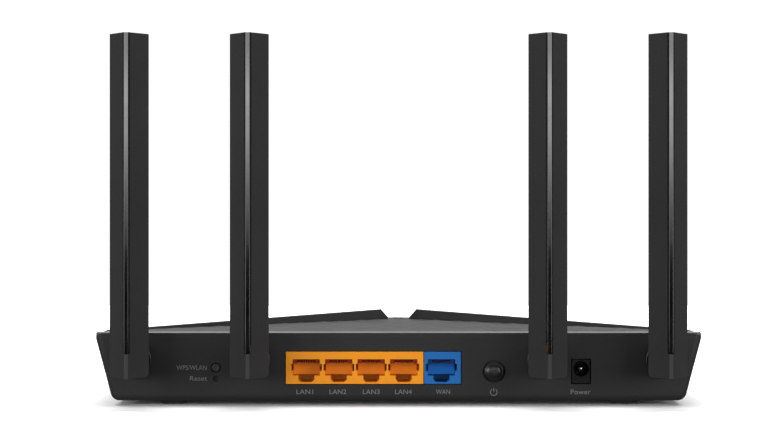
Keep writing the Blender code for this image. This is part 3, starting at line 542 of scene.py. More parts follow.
# Each plastic's name, colour, roughness, grain, gloss, and where they differ, how much its tone
# varies and how fine its grain is
PLASTICS = {
    "casing": ("casing_plastic", (0.0195, 0.0195, 0.0205), 0.6, 0.35, 0.22),
    "deck": ("deck_plastic", (0.02, 0.02, 0.022), 0.36, 0.25, 0.5),
    "wing": ("wing_plastic", (0.015, 0.015, 0.016), 0.38, 0.15, 0.3),
    "sleeve": ("antenna_plastic", (0.028, 0.028, 0.029), 0.55, 0.35, 0.08),
    # The ridge's lighter colour is a painted highlight on the flat facing the rear
    "ridge": ("ridge_plastic", (0.036, 0.036, 0.037), 0.45, 0.1, 0.2),
    "strip": ("gloss_strip", (0.002, 0.002, 0.0022), 0.08, 0.02, 0.75),
    "mount": ("mount_plastic", (0.008, 0.008, 0.009), 0.42, 0.25, 0.3),
    "gloss": ("button_gloss", (0.012, 0.012, 0.013), 0.26, 0.2, 0.35),
    "orange": ("socket_orange", (0.86, 0.3, 0.012), 0.5, 0.2, 0.2, 0.04),
    # Back plates: the socket colours painted lighter, as painted light deep in the sockets
    "painted_light_orange": ("back_orange", (0.95, 0.3, 0.012), 0.5, 0.2, 0.2, 0.0),
    "painted_light_blue": ("back_blue", (0.012, 0.2, 0.66), 0.5, 0.2, 0.2, 0.03),
    "blue": ("socket_blue", (0.012, 0.13, 0.41), 0.5, 0.2, 0.2, 0.06),
    # Combs: dark colours painted as shade in the upper part of the sockets
    "painted_shade_orange": ("comb_orange", (0.2, 0.018, 0.004), 0.55, 0.2, 0.15),
    "painted_shade_blue": ("comb_blue", (0.008, 0.022, 0.09), 0.55, 0.2, 0.15),
    "inlet": ("inlet_plastic", (0.007, 0.007, 0.0075), 0.5, 0.35, 0.15),
    "component": ("component_plastic", (0.014, 0.014, 0.015), 0.5, 0.35, 0.4),
    "rubber": ("foot_rubber", (0.016, 0.016, 0.016), 0.85, 0.6, 0.5, 0.12, 1400.0),
    "lead": ("lead_jacket", (0.07, 0.07, 0.075), 0.5, 0.3, 0.5),
    "ink": ("label_ink", (0.16, 0.16, 0.165), 0.6, 0.2, 0.2),
}
METALS = {
    "gold": ("gold_plate", (0.86, 0.58, 0.24), 0.28, (1.0, 0.1, 1.0)),
    "steel": ("plated_steel", (0.6, 0.6, 0.61), 0.28, (1.0, 1.0, 0.2)),
    "tin": ("tinned_sheet", (0.64, 0.64, 0.62), 0.36, (0.1, 1.0, 1.0)),
    "aluminium": ("anodised_fins", (0.58, 0.59, 0.6), 0.38, (1.0, 0.08, 1.0)),
}
LOOK = {look: plastic(*values) for look, values in PLASTICS.items()}
LOOK.update({look: metal(*values) for look, values in METALS.items()})
LOOK.update(board=circuit_board(), clear=milky_clear())


# Putting pieces in the scene

BEVEL_ANGLE = 35.0
SHARP_ANGLE = 32.0


def add_piece(name, mesh, look, body="chassis", replaces=(), origin=(0.0, 0.0, 0.0), bevel=0.0):
    """A piece that rides on a body and stands for CAD nodes."""
    mesh.materials.clear()
    mesh.materials.append(LOOK[look])
    mesh.shade_smooth()
    piece = placed(name, mesh)
    piece.location = [value * MM for value in origin]
    if bevel:
        modifier = piece.modifiers.new("edges", "BEVEL")
        modifier.width = bevel * MM
        modifier.segments = 2
        modifier.limit_method = "ANGLE"
        modifier.angle_limit = radians(BEVEL_ANGLE)
        modifier.harden_normals = True
    else:
        mesh.set_sharp_from_angle(angle=radians(SHARP_ANGLE))
    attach(piece, body)
    if replaces:
        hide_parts(*replaces)
    return piece


def dress(node, look):
    """Finishes a CAD node that is shown as it is."""
    mesh = frame["nodes"][node].data
    mesh.materials.clear()
    mesh.materials.append(LOOK[look])


# Casing


def side_inset(height):
    """How far the sloping sides are in from the shoulder at a height."""
    return SIDE_INSET * max(0.0, 1.0 - height / SHOULDER_H)


def case_loop(inset, rear_inset, height, falling=False):
    """The casing's outline at a height, pulled in, and falling with the rim or level."""
    half = CASE_HALF - inset
    front = FRONT_Y + inset
    rear = REAR_Y - rear_inset
    rear_radius = max(REAR_CORNER - rear_inset, LEAST_CORNER)
    outline = []
    for sign_x, y, radius, start in (
        (1, rear, rear_radius, 0),
        (-1, rear, rear_radius, 90),
        (-1, front, FRONT_CORNER, 180),
        (1, front, FRONT_CORNER, 270),
    ):
        sign_y = 1 if y == rear else -1
        centre = (sign_x * (half - radius), y - sign_y * radius)
        outline += arc(centre, radius, start, start + 90, CORNER_STEPS)
    return [(x, y, STAND + height + (fall_at(y) if falling else 0.0)) for x, y in outline]


def falling_loops(*steps):
    """The outline at each inset and height, falling with the rim."""
    return [case_loop(inset, inset, height, True) for inset, height in steps]


def tray_loops():
    """The outside of the bottom case, up to the chamfer under the lid."""
    loops = []
    for up, inward in quarter_round():
        height, rounding = BOTTOM_RADIUS * up, BOTTOM_RADIUS * inward
        loops.append(case_loop(side_inset(height) + rounding, rounding, height))
    top = PARTING_H - SEAM
    inward, down = TRAY_CHAMFER
    return loops + falling_loops((0, SHOULDER_H), (0, top - down), (inward, top))


def tray_hollow():
    low = case_loop(side_inset(FLOOR) + WALL, WALL, FLOOR)
    return [low] + falling_loops((WALL, SHOULDER_H), (WALL, RIM_H + 5 * OVERCUT))


def on_floor(x, depth, radius, low, high, steps=32):
    """An upright cylinder, as a shape to draw."""
    outline = circle((x, depth_y(depth)), radius, steps)
    return (add_prism, outline, "Z", STAND + low, STAND + high)


def on_pairs(places, *size):
    """Pairs of cylinders. The places are half their spacing and their depths."""
    half_x, depths = places
    return [on_floor(sign * half_x, depth, *size) for depth in depths for sign in (-1, 1)]


def through_wall(low, high):
    """A square hole in the rear wall, a gap wider than its piece."""
    ends = (REAR_Y - WALL - OVERCUT, REAR_Y + OVERCUT)
    return (add_box, (low.x - GAP, high.x + GAP), ends, (low.z - GAP, high.z + GAP))


def flared(root, face, radius, flare, past=0.1):
    """The profile of a round hole that widens at its mouth."""
    wide = radius + flare + past
    return [(root, radius), (face - flare, radius), (face + past, wide), (face + OVERCUT, wide)]


def round_through_wall(at, radius, flare):
    profile = flared(REAR_Y - WALL - OVERCUT, REAR_Y, radius, flare)
    return (add_turned, (at.x, at.z), profile, 40)


def stadium(x, y, half_width, length):
    reach = length / 2 - half_width
    return arc((x, y + reach), half_width, 0, 180, 6) + arc((x, y - reach), half_width, 180, 360, 6)


def rear_openings():
    low, high = span("lan_jack_block")
    low.x = span("wan_jack_block")[0].x
    openings = [through_wall(low, high), through_wall(*span("power_jack"))]
    for node, collar, clear, flare in (
        ("power_button", POWER_COLLAR, POWER_CLEAR, HOLE_FLARE),
        ("wps_button", SMALL_COLLAR, GAP, SMALL_FLARE),
    ):
        at = middle(node)
        radius = span(node)[1].x - at.x - collar + clear
        openings.append(round_through_wall(at, radius, flare))
    openings.append(round_through_wall(middle("reset_plunger"), RESET_HOLE, SMALL_FLARE))
    for number in ANTENNAS:
        openings.append(round_through_wall(axis_of(number, "turn"), SHAFT_RADIUS + GAP, 0.0))
    return openings


def axis_of(number, motion):
    """A point on the axis that an antenna turns or folds about."""
    return Vector(JOINTS[f"antenna_{number}_{motion}"]["pos_m"]) / MM


def floor_openings():
    ends = (STAND - OVERCUT, STAND + FLOOR + OVERCUT)
    openings = []
    for depth in VENT_DEPTHS:
        for i in range(-VENT_HALF_COUNT, VENT_HALF_COUNT + 1):
            slot = stadium(i * VENT_PITCH, depth_y(depth), VENT_SIZE[0] / 2, VENT_SIZE[1])
            openings.append((add_prism, slot, "Z", *ends))
    return openings


def build_bottom_case():
    mesh = cut(drawn("bottom_case_shell", (add_loft, tray_loops())), (add_loft, tray_hollow()))
    root = FLOOR - OVERCUT
    bosses = on_pairs(SCREWS, BOSS_RADIUS, root, BOSS_TOP_H)
    mesh = joined(mesh, *bosses, *on_pairs(STANDOFFS, STANDOFF_RADIUS, root, BOARD_LOW_H - GAP))
    mesh = cut(mesh, *on_pairs(SCREWS, SCREW_WELL, -OVERCUT, SCREW_WELL_H))
    bores = on_pairs(SCREWS, SCREW_BORE, FLOOR, BOSS_TOP_H + OVERCUT)
    mesh = cut(mesh, *bores, *on_pairs(FEET, FOOT_RADIUS + 2 * GAP, -OVERCUT, FOOT_SUNK, 48))
    mesh = cut(mesh, *rear_openings(), *floor_openings())
    add_piece("bottom_case_shell", mesh, "casing", replaces=["bottom_case"], bevel=0.15)


def wing_back_depth(x):
    """Where the foot of a wing's rear edge runs, as a depth."""
    return WING_TIP_DEPTH + (WING_OUTER_X - x) * WING_SWEEP


def on_plan(points):
    return [(x, depth_y(depth)) for x, depth in points]


def deck_plan():
    """The V of the deck and its channel, just clear of the wings."""
    clear = WING_TIP_DEPTH - DECK_CORNER_DEPTH
    half = [
        (WING_OUTER_X, DECK_START),
        (WING_OUTER_X, DECK_CORNER_DEPTH),
        (DECK_CHANNEL, wing_back_depth(DECK_CHANNEL) - clear),
        (DECK_CHANNEL, WING_FRONT_DEPTH),
    ]
    return on_plan(mirrored(half))


def deck_hollow_plan():
    first, last = DECK_HOLLOW_DEPTHS
    outer = WING_OUTER_X - (first - WING_TIP_DEPTH) / WING_SWEEP - DECK_HOLLOW_INSET
    channel = DECK_CHANNEL - LID_PLATE
    corner = (channel, wing_back_depth(channel) - DECK_HOLLOW_INSET)
    half = [(outer, first), corner, (channel, last)]
    return on_plan(mirrored(half))


def in_relief(face):
    """Whether a face of the deck is one of its diamonds."""
    centre = face.calc_center_median()
    depth, side = REAR_Y - centre.y, abs(centre.x)
    if depth < DECK_START + DECK_BORDER or side > WING_OUTER_X - DECK_BORDER:
        return False
    return depth < wing_back_depth(side) - 2 * DECK_BORDER and face.calc_area() > DIAMOND_LEAST_AREA


def add_deck(bm):
    """The level deck as a block with a field of shallow diamonds."""
    plan = deck_plan()
    low = [(x, y, STAND + PARTING_H + fall_at(y)) for x, y in plan]
    high = [(x, y, STAND + DECK_H) for x, y in plan]
    add_loft(bm, [low, high])
    bm.normal_update()
    faces = [max(bm.faces, key=lambda face: face.calc_center_median().z)]
    corner_y = depth_y(WING_TIP_DEPTH - 2 * DECK_BORDER)
    planes = [((0.0, depth_y(DECK_START + DECK_BORDER), 0.0), (0.0, 1.0, 0.0))]
    for sign in (-1, 1):
        planes.append(((sign * WING_OUTER_X, corner_y, 0.0), (sign * WING_SWEEP, -1.0, 0.0)))
        planes.append(((sign * (WING_OUTER_X - DECK_BORDER), 0.0, 0.0), (1.0, 0.0, 0.0)))
    reach = ceil((CASE_HALF + CASE_DEPTH) / DIAMOND) + 1
    for i in range(-reach, reach + 1):
        for sign in (-1, 1):
            normal = (1.0, sign * DIAMOND / DIAMOND_LONG, 0.0)
            planes.append(((i * DIAMOND, depth_y(DECK_BORDER), 0.0), normal))
    for point, normal in planes:
        inside = [face for face in faces if face.is_valid]
        edges = dict.fromkeys(edge for face in inside for edge in face.edges)
        verts = dict.fromkeys(vert for face in inside for vert in face.verts)
        geom = inside + list(edges) + list(verts)
        result = bmesh.ops.bisect_plane(bm, geom=geom, plane_co=point, plane_no=normal, dist=1e-4)
        faces = [part for part in result["geom"] if isinstance(part, bmesh.types.BMFace)]
    raised = [face for face in faces if in_relief(face)]
    bmesh.ops.inset_individual(bm, faces=raised, thickness=DIAMOND_GROOVE, use_even_offset=True)
    for face in raised:
        for vert in face.verts:
            vert.co.z += DIAMOND_EDGE
    poked = bmesh.ops.poke(bm, faces=raised)
    full = DIAMOND * DIAMOND_LONG / 2
    for vert in poked["verts"]:
        area = sum(face.calc_area() for face in vert.link_faces)
        vert.co.z += DIAMOND_RISE * min(1.0, sqrt(area / full))


def lid_loops():
    """The lid's plate, with a thin lip over a recess at the rear."""
    edge = [case_loop(side, rear, RIM_H - below, True) for side, rear, below in LID_EDGE_PROFILE]
    return [case_loop(0.0, LID_RECESS, PARTING_H, True)] + edge


def lamp_window(index):
    y = depth_y(LAMP_FIRST_DEPTH + index * LAMP_PITCH)
    top = STAND + DECK_H
    half_x, half_y = (size / 2 + GAP for size in LAMP_SIZE)
    ends = (top - LAMP_REACH[0], top + LAMP_REACH[1])
    return (add_box, (-half_x, half_x), (y - half_y, y + half_y), ends)


def build_lid():
    clear = WALL + GAP
    low = UNDER_H - LIP_DEPTH
    lip = falling_loops((clear + LIP_TAPER, low), (clear, PARTING_H + LIP_ROOT))
    inner = clear + LIP_WALL
    hollow = falling_loops((inner, low - OVERCUT), (inner, UNDER_H))
    mesh = joined(drawn("lid", (add_loft, lid_loops())), (add_loft, lip))
    mesh = cut(mesh, (add_loft, hollow))
    mesh = joined(mesh, (add_deck,))
    plan = deck_hollow_plan()
    room = [
        [(x, y, STAND + UNDER_H - OVERCUT + fall_at(y)) for x, y in plan],
        [(x, y, STAND + UNDER_H) for x, y in plan],
    ]
    mesh = cut(mesh, (add_loft, room))
    posts = []
    for depth in SCREWS[1]:
        into_plate = UNDER_H + fall_at(depth_y(depth)) + LID_PLATE / 2
        posts += on_pairs((SCREWS[0], [depth]), POST_RADIUS, BOSS_TOP_H + GAP, into_plate)
    mesh = joined(mesh, *posts)
    holes = on_pairs(SCREWS, POST_HOLE, BOSS_TOP_H - OVERCUT, POST_HOLE_TOP_H)
    mesh = cut(mesh, *holes, *(lamp_window(i) for i in range(LAMP_COUNT)))
    add_piece("lid_shell", mesh, "deck", replaces=["top_cover"])


def moved_in(outline, amount):
    """A convex outline made smaller."""
    count = len(outline)
    centre = sum((Vector(point) for point in outline), Vector((0.0, 0.0))) / count
    result = []
    for i, point in enumerate(outline):
        ahead = Vector(outline[(i + 1) % count]) - Vector(outline[i - 1])
        inward = Vector((-ahead.y, ahead.x)).normalized()
        if inward.dot(centre - Vector(point)) < 0:
            inward = -inward
        result.append(tuple(Vector(point) + inward * amount))
    return result


def wing_outline(sign, lean):
    """A wing's plan. The lean is 0 at its foot and 1 at its top."""
    outer = WING_OUTER_X - LEAN_OUTER * lean
    front = WING_FRONT_DEPTH - LEAN_FRONT * lean
    inner = WING_INNER_X + LEAN_INNER * lean
    back = LEAN_BACK * lean
    points = [
        (outer, wing_back_depth(outer) + back),
        (outer, front),
        (inner, front),
        (inner, wing_back_depth(inner) + back),
    ]
    return on_plan((sign * x, depth) for x, depth in rounded(points, WING_CORNERS, steps=8))


def wing_top(x, y):
    """The level of a wing's top, which falls outwards and to the front."""
    out = WING_OUTER_X - abs(x)
    ridge_depth = WING_TIP_DEPTH + LEAN_BACK + out * WING_SWEEP
    return STAND + WING_TIP_H + out * WING_RISE - WING_FALL * (REAR_Y - y - ridge_depth)


def wing_mesh(sign):
    """A wing: upright to the deck's level, then leaning, with a flat top."""
    low, high = wing_outline(sign, 0.0), wing_outline(sign, 1.0)
    foot = [(x, y, STAND + RIM_H + WING_GAP + fall_at(y)) for x, y in low]
    waist = []
    for x, y, z in foot:
        top = wing_top(x, y)
        upright = min(STAND + DECK_H + WING_ABOVE_DECK, top - WING_LEAST_SIDE)
        waist.append((x, y, max((z + top) / 2, upright)))
    loops = [foot, waist]
    for inward, down in quarter_round((0, 20, 40, 60, 90)):
        edge = moved_in(high, WING_ROUND * inward)
        loop = []
        for (x, y), (top_x, top_y), start in zip(edge, high, waist):
            level = wing_top(top_x, top_y) - WING_ROUND * down
            loop.append((x, y, max(level, start[2] + WING_LEAST_RISE)))
        loops.append(loop)
    return drawn("wing", (add_loft, loops))


def build_wings():
    for name, sign in (("wing_left", -1), ("wing_right", 1)):
        add_piece(f"{name}_panel", wing_mesh(sign), "wing", replaces=[name])


# Sockets


def port_outline(x):
    half = [(u, STAND + height) for u, height in PORT_TOP + PORT_LATCH]
    return rounded(mirrored(half, x), PORT_ROUND, steps=3)


def whole_box(node):
    """The box of a CAD node, as a shape to draw."""
    return (add_box, *zip(*span(node)))


def build_socket_block(name, node, combs, look):
    face = span(node)[1].y
    ends = (face - JACK_PORT_DEPTH, face + OVERCUT)
    ports = [(add_prism, port_outline(middle(comb).x), "Y", *ends) for comb in combs]
    mesh = cut(drawn(name, whole_box(node)), *ports)
    add_piece(name, mesh, look, replaces=[node], bevel=0.18)


def spring_places(node):
    centre = middle(node).x
    return [centre + (i - (CONTACTS - 1) / 2) * CONTACT_PITCH for i in range(CONTACTS)]


def build_contacts(name, node):
    """Eight springs that come forward in a socket and curl down at its mouth."""
    face = span(node)[1].y + CONTACT_SUNK
    path = [(face - behind, STAND + height) for behind, height in CONTACT_ROOT + CONTACT_CURL]
    strip = thick_line(rounded(path, CONTACT_BEND, steps=3, closed=False), CONTACT_THICK)
    half = CONTACT_WIDTH / 2
    shapes = [(add_prism, strip, "X", x - half, x + half) for x in spring_places(node)]
    add_piece(name, drawn(name, *shapes), "gold", replaces=[node])


def build_carrier(name, comb, face, look):
    """The comb that the springs run in, with a slot for each, painted dark as shade."""
    centre = middle(comb).x
    back, mouth = face - JACK_PORT_DEPTH + CARRIER_BACK_GAP, face - CARRIER_SUNK
    low, high = (STAND + height for height in CARRIER_H)
    half, half_slot = PORT_HALF - CARRIER_GAP, CARRIER_SLOT / 2
    room = ((back - OVERCUT, mouth + OVERCUT), (low - OVERCUT, high - CARRIER_ROOF))
    slots = [(add_box, (x - half_slot, x + half_slot), *room) for x in spring_places(comb)]
    mesh = drawn(name, (add_box, (centre - half, centre + half), (back, mouth), (low, high)))
    add_piece(name, cut(mesh, *slots), look)


def build_back(name, comb, face, look):
    """A plate that closes the room for the plug, lighter than the socket: painted light."""
    centre = middle(comb).x
    front = face - PLUG_LENGTH
    half = PORT_HALF - BACK_GAP
    levels = (STAND + PORT_FLOOR_H + BACK_GAP, STAND + CARRIER_H[0] - BACK_GAP)
    plate = (add_box, (centre - half, centre + half), (front - BACK_PLATE, front), levels)
    add_piece(name, drawn(name, plate), look)


def build_sockets():
    combs = [f"lan_contacts_{i}" for i in range(1, 5)]
    build_socket_block("lan_sockets", "lan_jack_block", combs, "orange")
    build_socket_block("wan_socket", "wan_jack_block", ["wan_contacts"], "blue")
    face = span("lan_jack_block")[1].y
    for comb in combs + ["wan_contacts"]:
        colour = "blue" if comb == "wan_contacts" else "orange"
        build_contacts(f"{comb}_springs", comb)
        # The carrier's dark colour is painted shade
        build_carrier(f"{comb}_carrier", comb, face, f"painted_shade_{colour}")
        # The back plate's lighter colour is painted light
        build_back(f"{comb}_back_plate", comb, face, f"painted_light_{colour}")


def build_inlet():
    low, high = (corner.y for corner in span("power_jack"))
    centre = (middle("power_jack").x, STAND + INLET_BORE_H)
    floor = high - INLET_BORE_DEPTH
    seat = [(low - OVERCUT, INLET_PIN + GAP), (floor + OVERCUT, INLET_PIN + GAP)]
    mesh = drawn("power_inlet", whole_box("power_jack"))
    mesh = cut(mesh, (add_turned, centre, flared(floor, high, INLET_BORE, INLET_FLARE)))
    mesh = cut(mesh, (add_turned, centre, seat, 24))
    add_piece("power_inlet", mesh, "inlet", replaces=["power_jack"], bevel=0.15)
    root, tip = (corner.y for corner in span("power_jack_pin"))
    profile = [(root, INLET_PIN)]
    for inward, back in quarter_round():
        profile.append((tip - INLET_PIN * back, max(INLET_PIN * (1 - inward), TIP_RADIUS)))
    pin = drawn("power_inlet_pin", (add_turned, centre, profile, 32))
    add_piece("power_inlet_pin", pin, "steel", replaces=["power_jack_pin"])


# Buttons


def build_button(name, node, look, slot, stem, flange, overhang, top, steps):
    """A round cap with a collar behind the wall and a stem."""
    low, high = span(node)
    centre = middle(node)
    collar = high.x - centre.x
    radius = collar - overhang
    inside = REAR_Y - WALL - GAP
    profile = [(low.y, stem), (inside - flange, stem), (inside - flange, collar), (inside, collar)]
    profile += [(inside, radius)] + top(radius, high.y)
    mesh = drawn(name, (add_turned, (centre.x, centre.z), profile, steps))
    add_piece(name, mesh, look, body=name, replaces=[node])


def domed_top(radius, face):
    points = []
    shoulder = radius - POWER_EDGE
    for inward, back in quarter_round():
        points.append((face - POWER_DOME - POWER_EDGE * back, radius - POWER_EDGE * inward))
    for i in range(1, DOME_STEPS + 1):
        share = i / DOME_STEPS
        at = face - POWER_DOME * (1 - share) ** 2
        points.append((at, max(shoulder * sqrt(1 - share), DOME_TIP)))
    return points


def dished_top(radius, face):
    dish = ((0.3, 0.0), (0.08, 0.1), (0.0, 0.35), (0.08, 0.7), (0.12, radius - 0.1))
    return [(face - back, radius - inward) for back, inward in dish]


def build_buttons():
    power = (POWER_STEM, POWER_FLANGE, POWER_COLLAR, domed_top, 64)
    build_button("power_button_cap", "power_button", "gloss", "gloss", *power)
    small = (SMALL_STEM, SMALL_FLANGE, SMALL_COLLAR, dished_top, 40)
    build_button("wps_button_cap", "wps_button", "component", "casing", *small)


# Antennas


def sleeve_outline(half_width):
    """The antenna's section: flat, then upright sides, then a wedge to the ridge."""
    chamfer = SLEEVE_CHAMFER
    half = [(half_width - chamfer, 0.0), (half_width, chamfer), (half_width, SIDE_DEPTH)]
    half += [(RIDGE_HALF, RIDGE_DEPTH)]
    points = mirrored([(u, v - PIVOT_DEPTH) for u, v in half])
    return rounded(points, SLEEVE_ROUNDS + SLEEVE_ROUNDS[::-1], steps=3)


def level_loops(outline, levels):
    """An outline at several levels, moved in by an amount at each."""
    return [[(x, y, z) for x, y in moved_in(outline, inward)] for z, inward in levels]


def sleeve_mesh():
    """The sleeve, about its fold axis."""
    low, high = span("antenna_1_sleeve")
    axis = axis_of(1, "fold")
    half_width = (high.x - low.x) / 2
    bottom, top = low.z - axis.z, high.z - axis.z
    strip_bottom = span("antenna_1_strip")[0].z - axis.z
    edge = SLEEVE_EDGE
    front = -PIVOT_DEPTH
    levels = ((bottom, edge), (bottom + edge, 0.0), (top - edge, 0.0), (top, edge))
    mesh = drawn("sleeve", (add_loft, level_loops(sleeve_outline(half_width), levels)))
    groove_floor = RIDGE_DEPTH - STRIP_DEPTH - GAP - PIVOT_DEPTH
    groove = (groove_floor, groove_floor + 5 * OVERCUT)
    ends = (strip_bottom - GAP, top + OVERCUT)
    mesh = cut(mesh, (add_box, (-half_width, half_width), groove, ends))
    outside, under = front - OVERCUT, bottom - OVERCUT
    toe = [(outside, under), (front + TOE_RADIUS, under)]
    toe += arc((front + TOE_RADIUS, bottom + TOE_RADIUS), TOE_RADIUS, 270, 180, 16)
    toe += [(outside, bottom + TOE_RADIUS)]
    mesh = cut(mesh, (add_prism, toe, "X", -half_width - OVERCUT, half_width + OVERCUT))
    room = TONGUE_RADIUS + GAP
    slot = [(outside, under), (room, under)] + arc((0, 0), room, 0, 90, 12) + [(outside, room)]
    mesh = cut(mesh, (add_prism, slot, "X", -TONGUE_HALF - GAP, TONGUE_HALF + GAP))
    hollow_top = span("antenna_1_radiator")[1].z - axis.z + SLEEVE_HOLLOW_ROOM
    levels = (TONGUE_RADIUS - SLEEVE_HOLLOW_DROP, hollow_top)
    depths = [depth + front for depth in SLEEVE_HOLLOW_DEPTHS]
    mesh = cut(mesh, (add_box, (-SLEEVE_HOLLOW_HALF, SLEEVE_HOLLOW_HALF), depths, levels))
    return cut(mesh, pin_hole(0, PIN_HALF + GAP))


def pin_hole(y, half):
    return (add_prism, circle((y, 0), PIN_RADIUS + GAP, 32), "X", -half, half)


def strip_mesh():
    """The glossy strip let into the ridge, about the fold axis."""
    low, high = span("antenna_1_strip")
    axis = axis_of(1, "fold")
    back = RIDGE_DEPTH - PIVOT_DEPTH
    root_half = (high.x - low.x) / 2
    half = [(root_half, back - STRIP_DEPTH), (RIDGE_HALF, back)]
    outline = rounded(mirrored(half), STRIP_ROUNDS + STRIP_ROUNDS[::-1])
    bottom, top = low.z - axis.z, high.z - axis.z
    small, edge = STRIP_EDGES
    levels = ((bottom, small), (bottom + small, 0.0), (top - edge, 0.0), (top, edge))
    return drawn("strip", (add_loft, level_loops(outline, levels)))


def mount_mesh():
    """The swivel, about its own axis and with y from the wall's outer face."""
    inside = -WALL - GAP
    root = inside - FLANGE_THICK
    cover = GAP + MOUNT_THICK
    wide, out = FLANGE_RADIUS, NECK_FILLET[0]
    profile = [(root, wide - FLANGE_CHAMFER), (root + FLANGE_CHAMFER, wide), (inside, wide)]
    profile += [(inside, SHAFT_RADIUS), (GAP, SHAFT_RADIUS)]
    profile += [(GAP, MOUNT_RADIUS - MOUNT_CHAMFER), (GAP + MOUNT_CHAMFER, MOUNT_RADIUS)]
    profile += [(cover - below, MOUNT_RADIUS - inward) for below, inward in MOUNT_RIM]
    profile += [(cover - MOUNT_DISH, NECK_RADIUS + out), (cover - NECK_FILLET[1], NECK_RADIUS)]
    profile += [(HUB_END - below, NECK_RADIUS - inward) for below, inward in HUB_EDGE]
    mesh = drawn("mount", (add_turned, (0, 0), profile, 64))
    pivot = axis_of(1, "fold").y - axis_of(1, "turn").y
    root_of_tongue = HUB_END - TONGUE_ROOT
    tongue = [(root_of_tongue, -TONGUE_RADIUS)] + arc((pivot, 0), TONGUE_RADIUS, -90, 90, 24)
    tongue += [(root_of_tongue, TONGUE_RADIUS)]
    mesh = joined(mesh, (add_prism, tongue, "X", -TONGUE_HALF, TONGUE_HALF))
    mesh = cut(mesh, pin_hole(pivot, TONGUE_HALF + 3 * OVERCUT))
    bore = [(root - OVERCUT, LEAD_BORE), (root_of_tongue - OVERCUT, LEAD_BORE)]
    return cut(mesh, (add_turned, (0, 0), bore, 24))


def pin_mesh():
    """The hinge pin, about its own axis."""
    end, tip = PIN_HALF - PIN_CHAMFER, PIN_RADIUS - PIN_CHAMFER
    loops = []
    for x, radius in ((-PIN_HALF, tip), (-end, PIN_RADIUS), (end, PIN_RADIUS), (PIN_HALF, tip)):
        loops.append([(x, y, z) for y, z in circle((0, 0), radius, 32)])
    return drawn("pin", (add_loft, loops))


def paint_ridge_highlight(mesh):
    """Gives the ridge's narrow flat below the strip a smoother finish and a painted highlight."""
    mesh.materials.append(LOOK["ridge"])
    level = (RIDGE_DEPTH - PIVOT_DEPTH - RIDGE_REACH) * MM
    for polygon in mesh.polygons:
        if polygon.normal.y > FACES_BACK and polygon.center.y > level:
            polygon.material_index = 1


def build_antennas():
    sleeve, strip, mount, pin = sleeve_mesh(), strip_mesh(), mount_mesh(), pin_mesh()
    for number in ANTENNAS:
        name = f"antenna_{number}"
        at_wall, at_fold = axis_of(number, "turn"), axis_of(number, "fold")
        shell = sleeve.copy()
        for part, mesh, look, slot, body, node, origin in (
            ("swivel_mount", mount.copy(), "mount", "black_plastic", f"{name}_swivel", "mount", at_wall),
            ("sleeve_shell", shell, "sleeve", "sleeve", name, "sleeve", at_fold),
            ("ridge_strip", strip.copy(), "strip", "gloss", name, "strip", at_fold),
            ("fold_pin", pin.copy(), "steel", "steel", name, "hinge_pin", at_fold),
        ):
            add_piece(f"{name}_{part}", mesh, look, body, [f"{name}_{node}"], origin)
        paint_ridge_highlight(shell)
        dress(f"{name}_radiator", "board")
        dress(f"{name}_coax", "lead")


# Feet, screws and what is inside

SCREW_SHANK = 1.4
SCREW_ROOT = 1.15
SCREW_HEAD = ((0.0, 2.1), (0.12, 2.45), (0.5, 2.8), (0.8, 2.9), (1.5, 2.9), (1.5, SCREW_SHANK))
SCREW_THREAD_START = 3.0
SCREW_TIP = 1.6
SCREW_TIP_RADII = (1.1, 0.4)
SCREW_TURNS = 14
SCREW_RING = 0.45
CROSS_HALVES = (1.5, 0.32)
CROSS_DEPTH = 0.9


def foot_mesh():
    height = STAND + FOOT_SUNK - GAP
    profile = [(FOOT_ROUND * up, FOOT_RADIUS - FOOT_ROUND * inward) for up, inward in quarter_round()]
    profile += [(height - FOOT_CHAMFER, FOOT_RADIUS), (height, FOOT_RADIUS - FOOT_CHAMFER)]
    return drawn("foot", (add_turned, (0, 0), profile, 64, True))


def screw_mesh(node):
    """A pan-head screw, head down, with a cross recess and a ringed shank."""
    low, high = span(node)
    length = high.z - low.z
    profile = list(SCREW_HEAD)
    start, end = SCREW_THREAD_START, length - SCREW_TIP
    for i in range(SCREW_TURNS):
        z = start + (end - start) * i / SCREW_TURNS
        profile += [(z, SCREW_ROOT), (z + SCREW_RING, SCREW_SHANK)]
    profile += zip((end, length), SCREW_TIP_RADII)
    mesh = drawn("screw", (add_turned, (0, 0), profile, 32, True))
    ends = (-OVERCUT, CROSS_DEPTH)
    long, short = CROSS_HALVES
    mesh = cut(mesh, (add_box, (-long, long), (-short, short), ends))
    return cut(mesh, (add_box, (-short, short), (-long, long), ends))


def build_small_parts():
    sole = foot_mesh()
    screw = screw_mesh("case_screw_rear_left")
    for place in ("rear_left", "rear_right", "front_left", "front_right"):
        for node, part, mesh, look in (
            (f"foot_{place}", "pad", sole, "rubber"),
            (f"case_screw_{place}", "body", screw, "steel"),
        ):
            at = middle(node)
            origin = (at.x, at.y, span(node)[0].z)
            add_piece(f"{node}_{part}", mesh.copy(), look, replaces=[node], origin=origin)


def dress_inside():
    for look, nodes in (
        ("clear", "light_guide"),
        ("board", "main_board"),
        ("aluminium", "heatsink"),
        ("tin", "radio_shield_left radio_shield_right"),
        ("component", "line_transformer_lan line_transformer_wan reset_plunger"),
        ("component", "power_switch wps_switch reset_switch"),
    ):
        for node in nodes.split():
            dress(node, look)


# Print on the rear wall

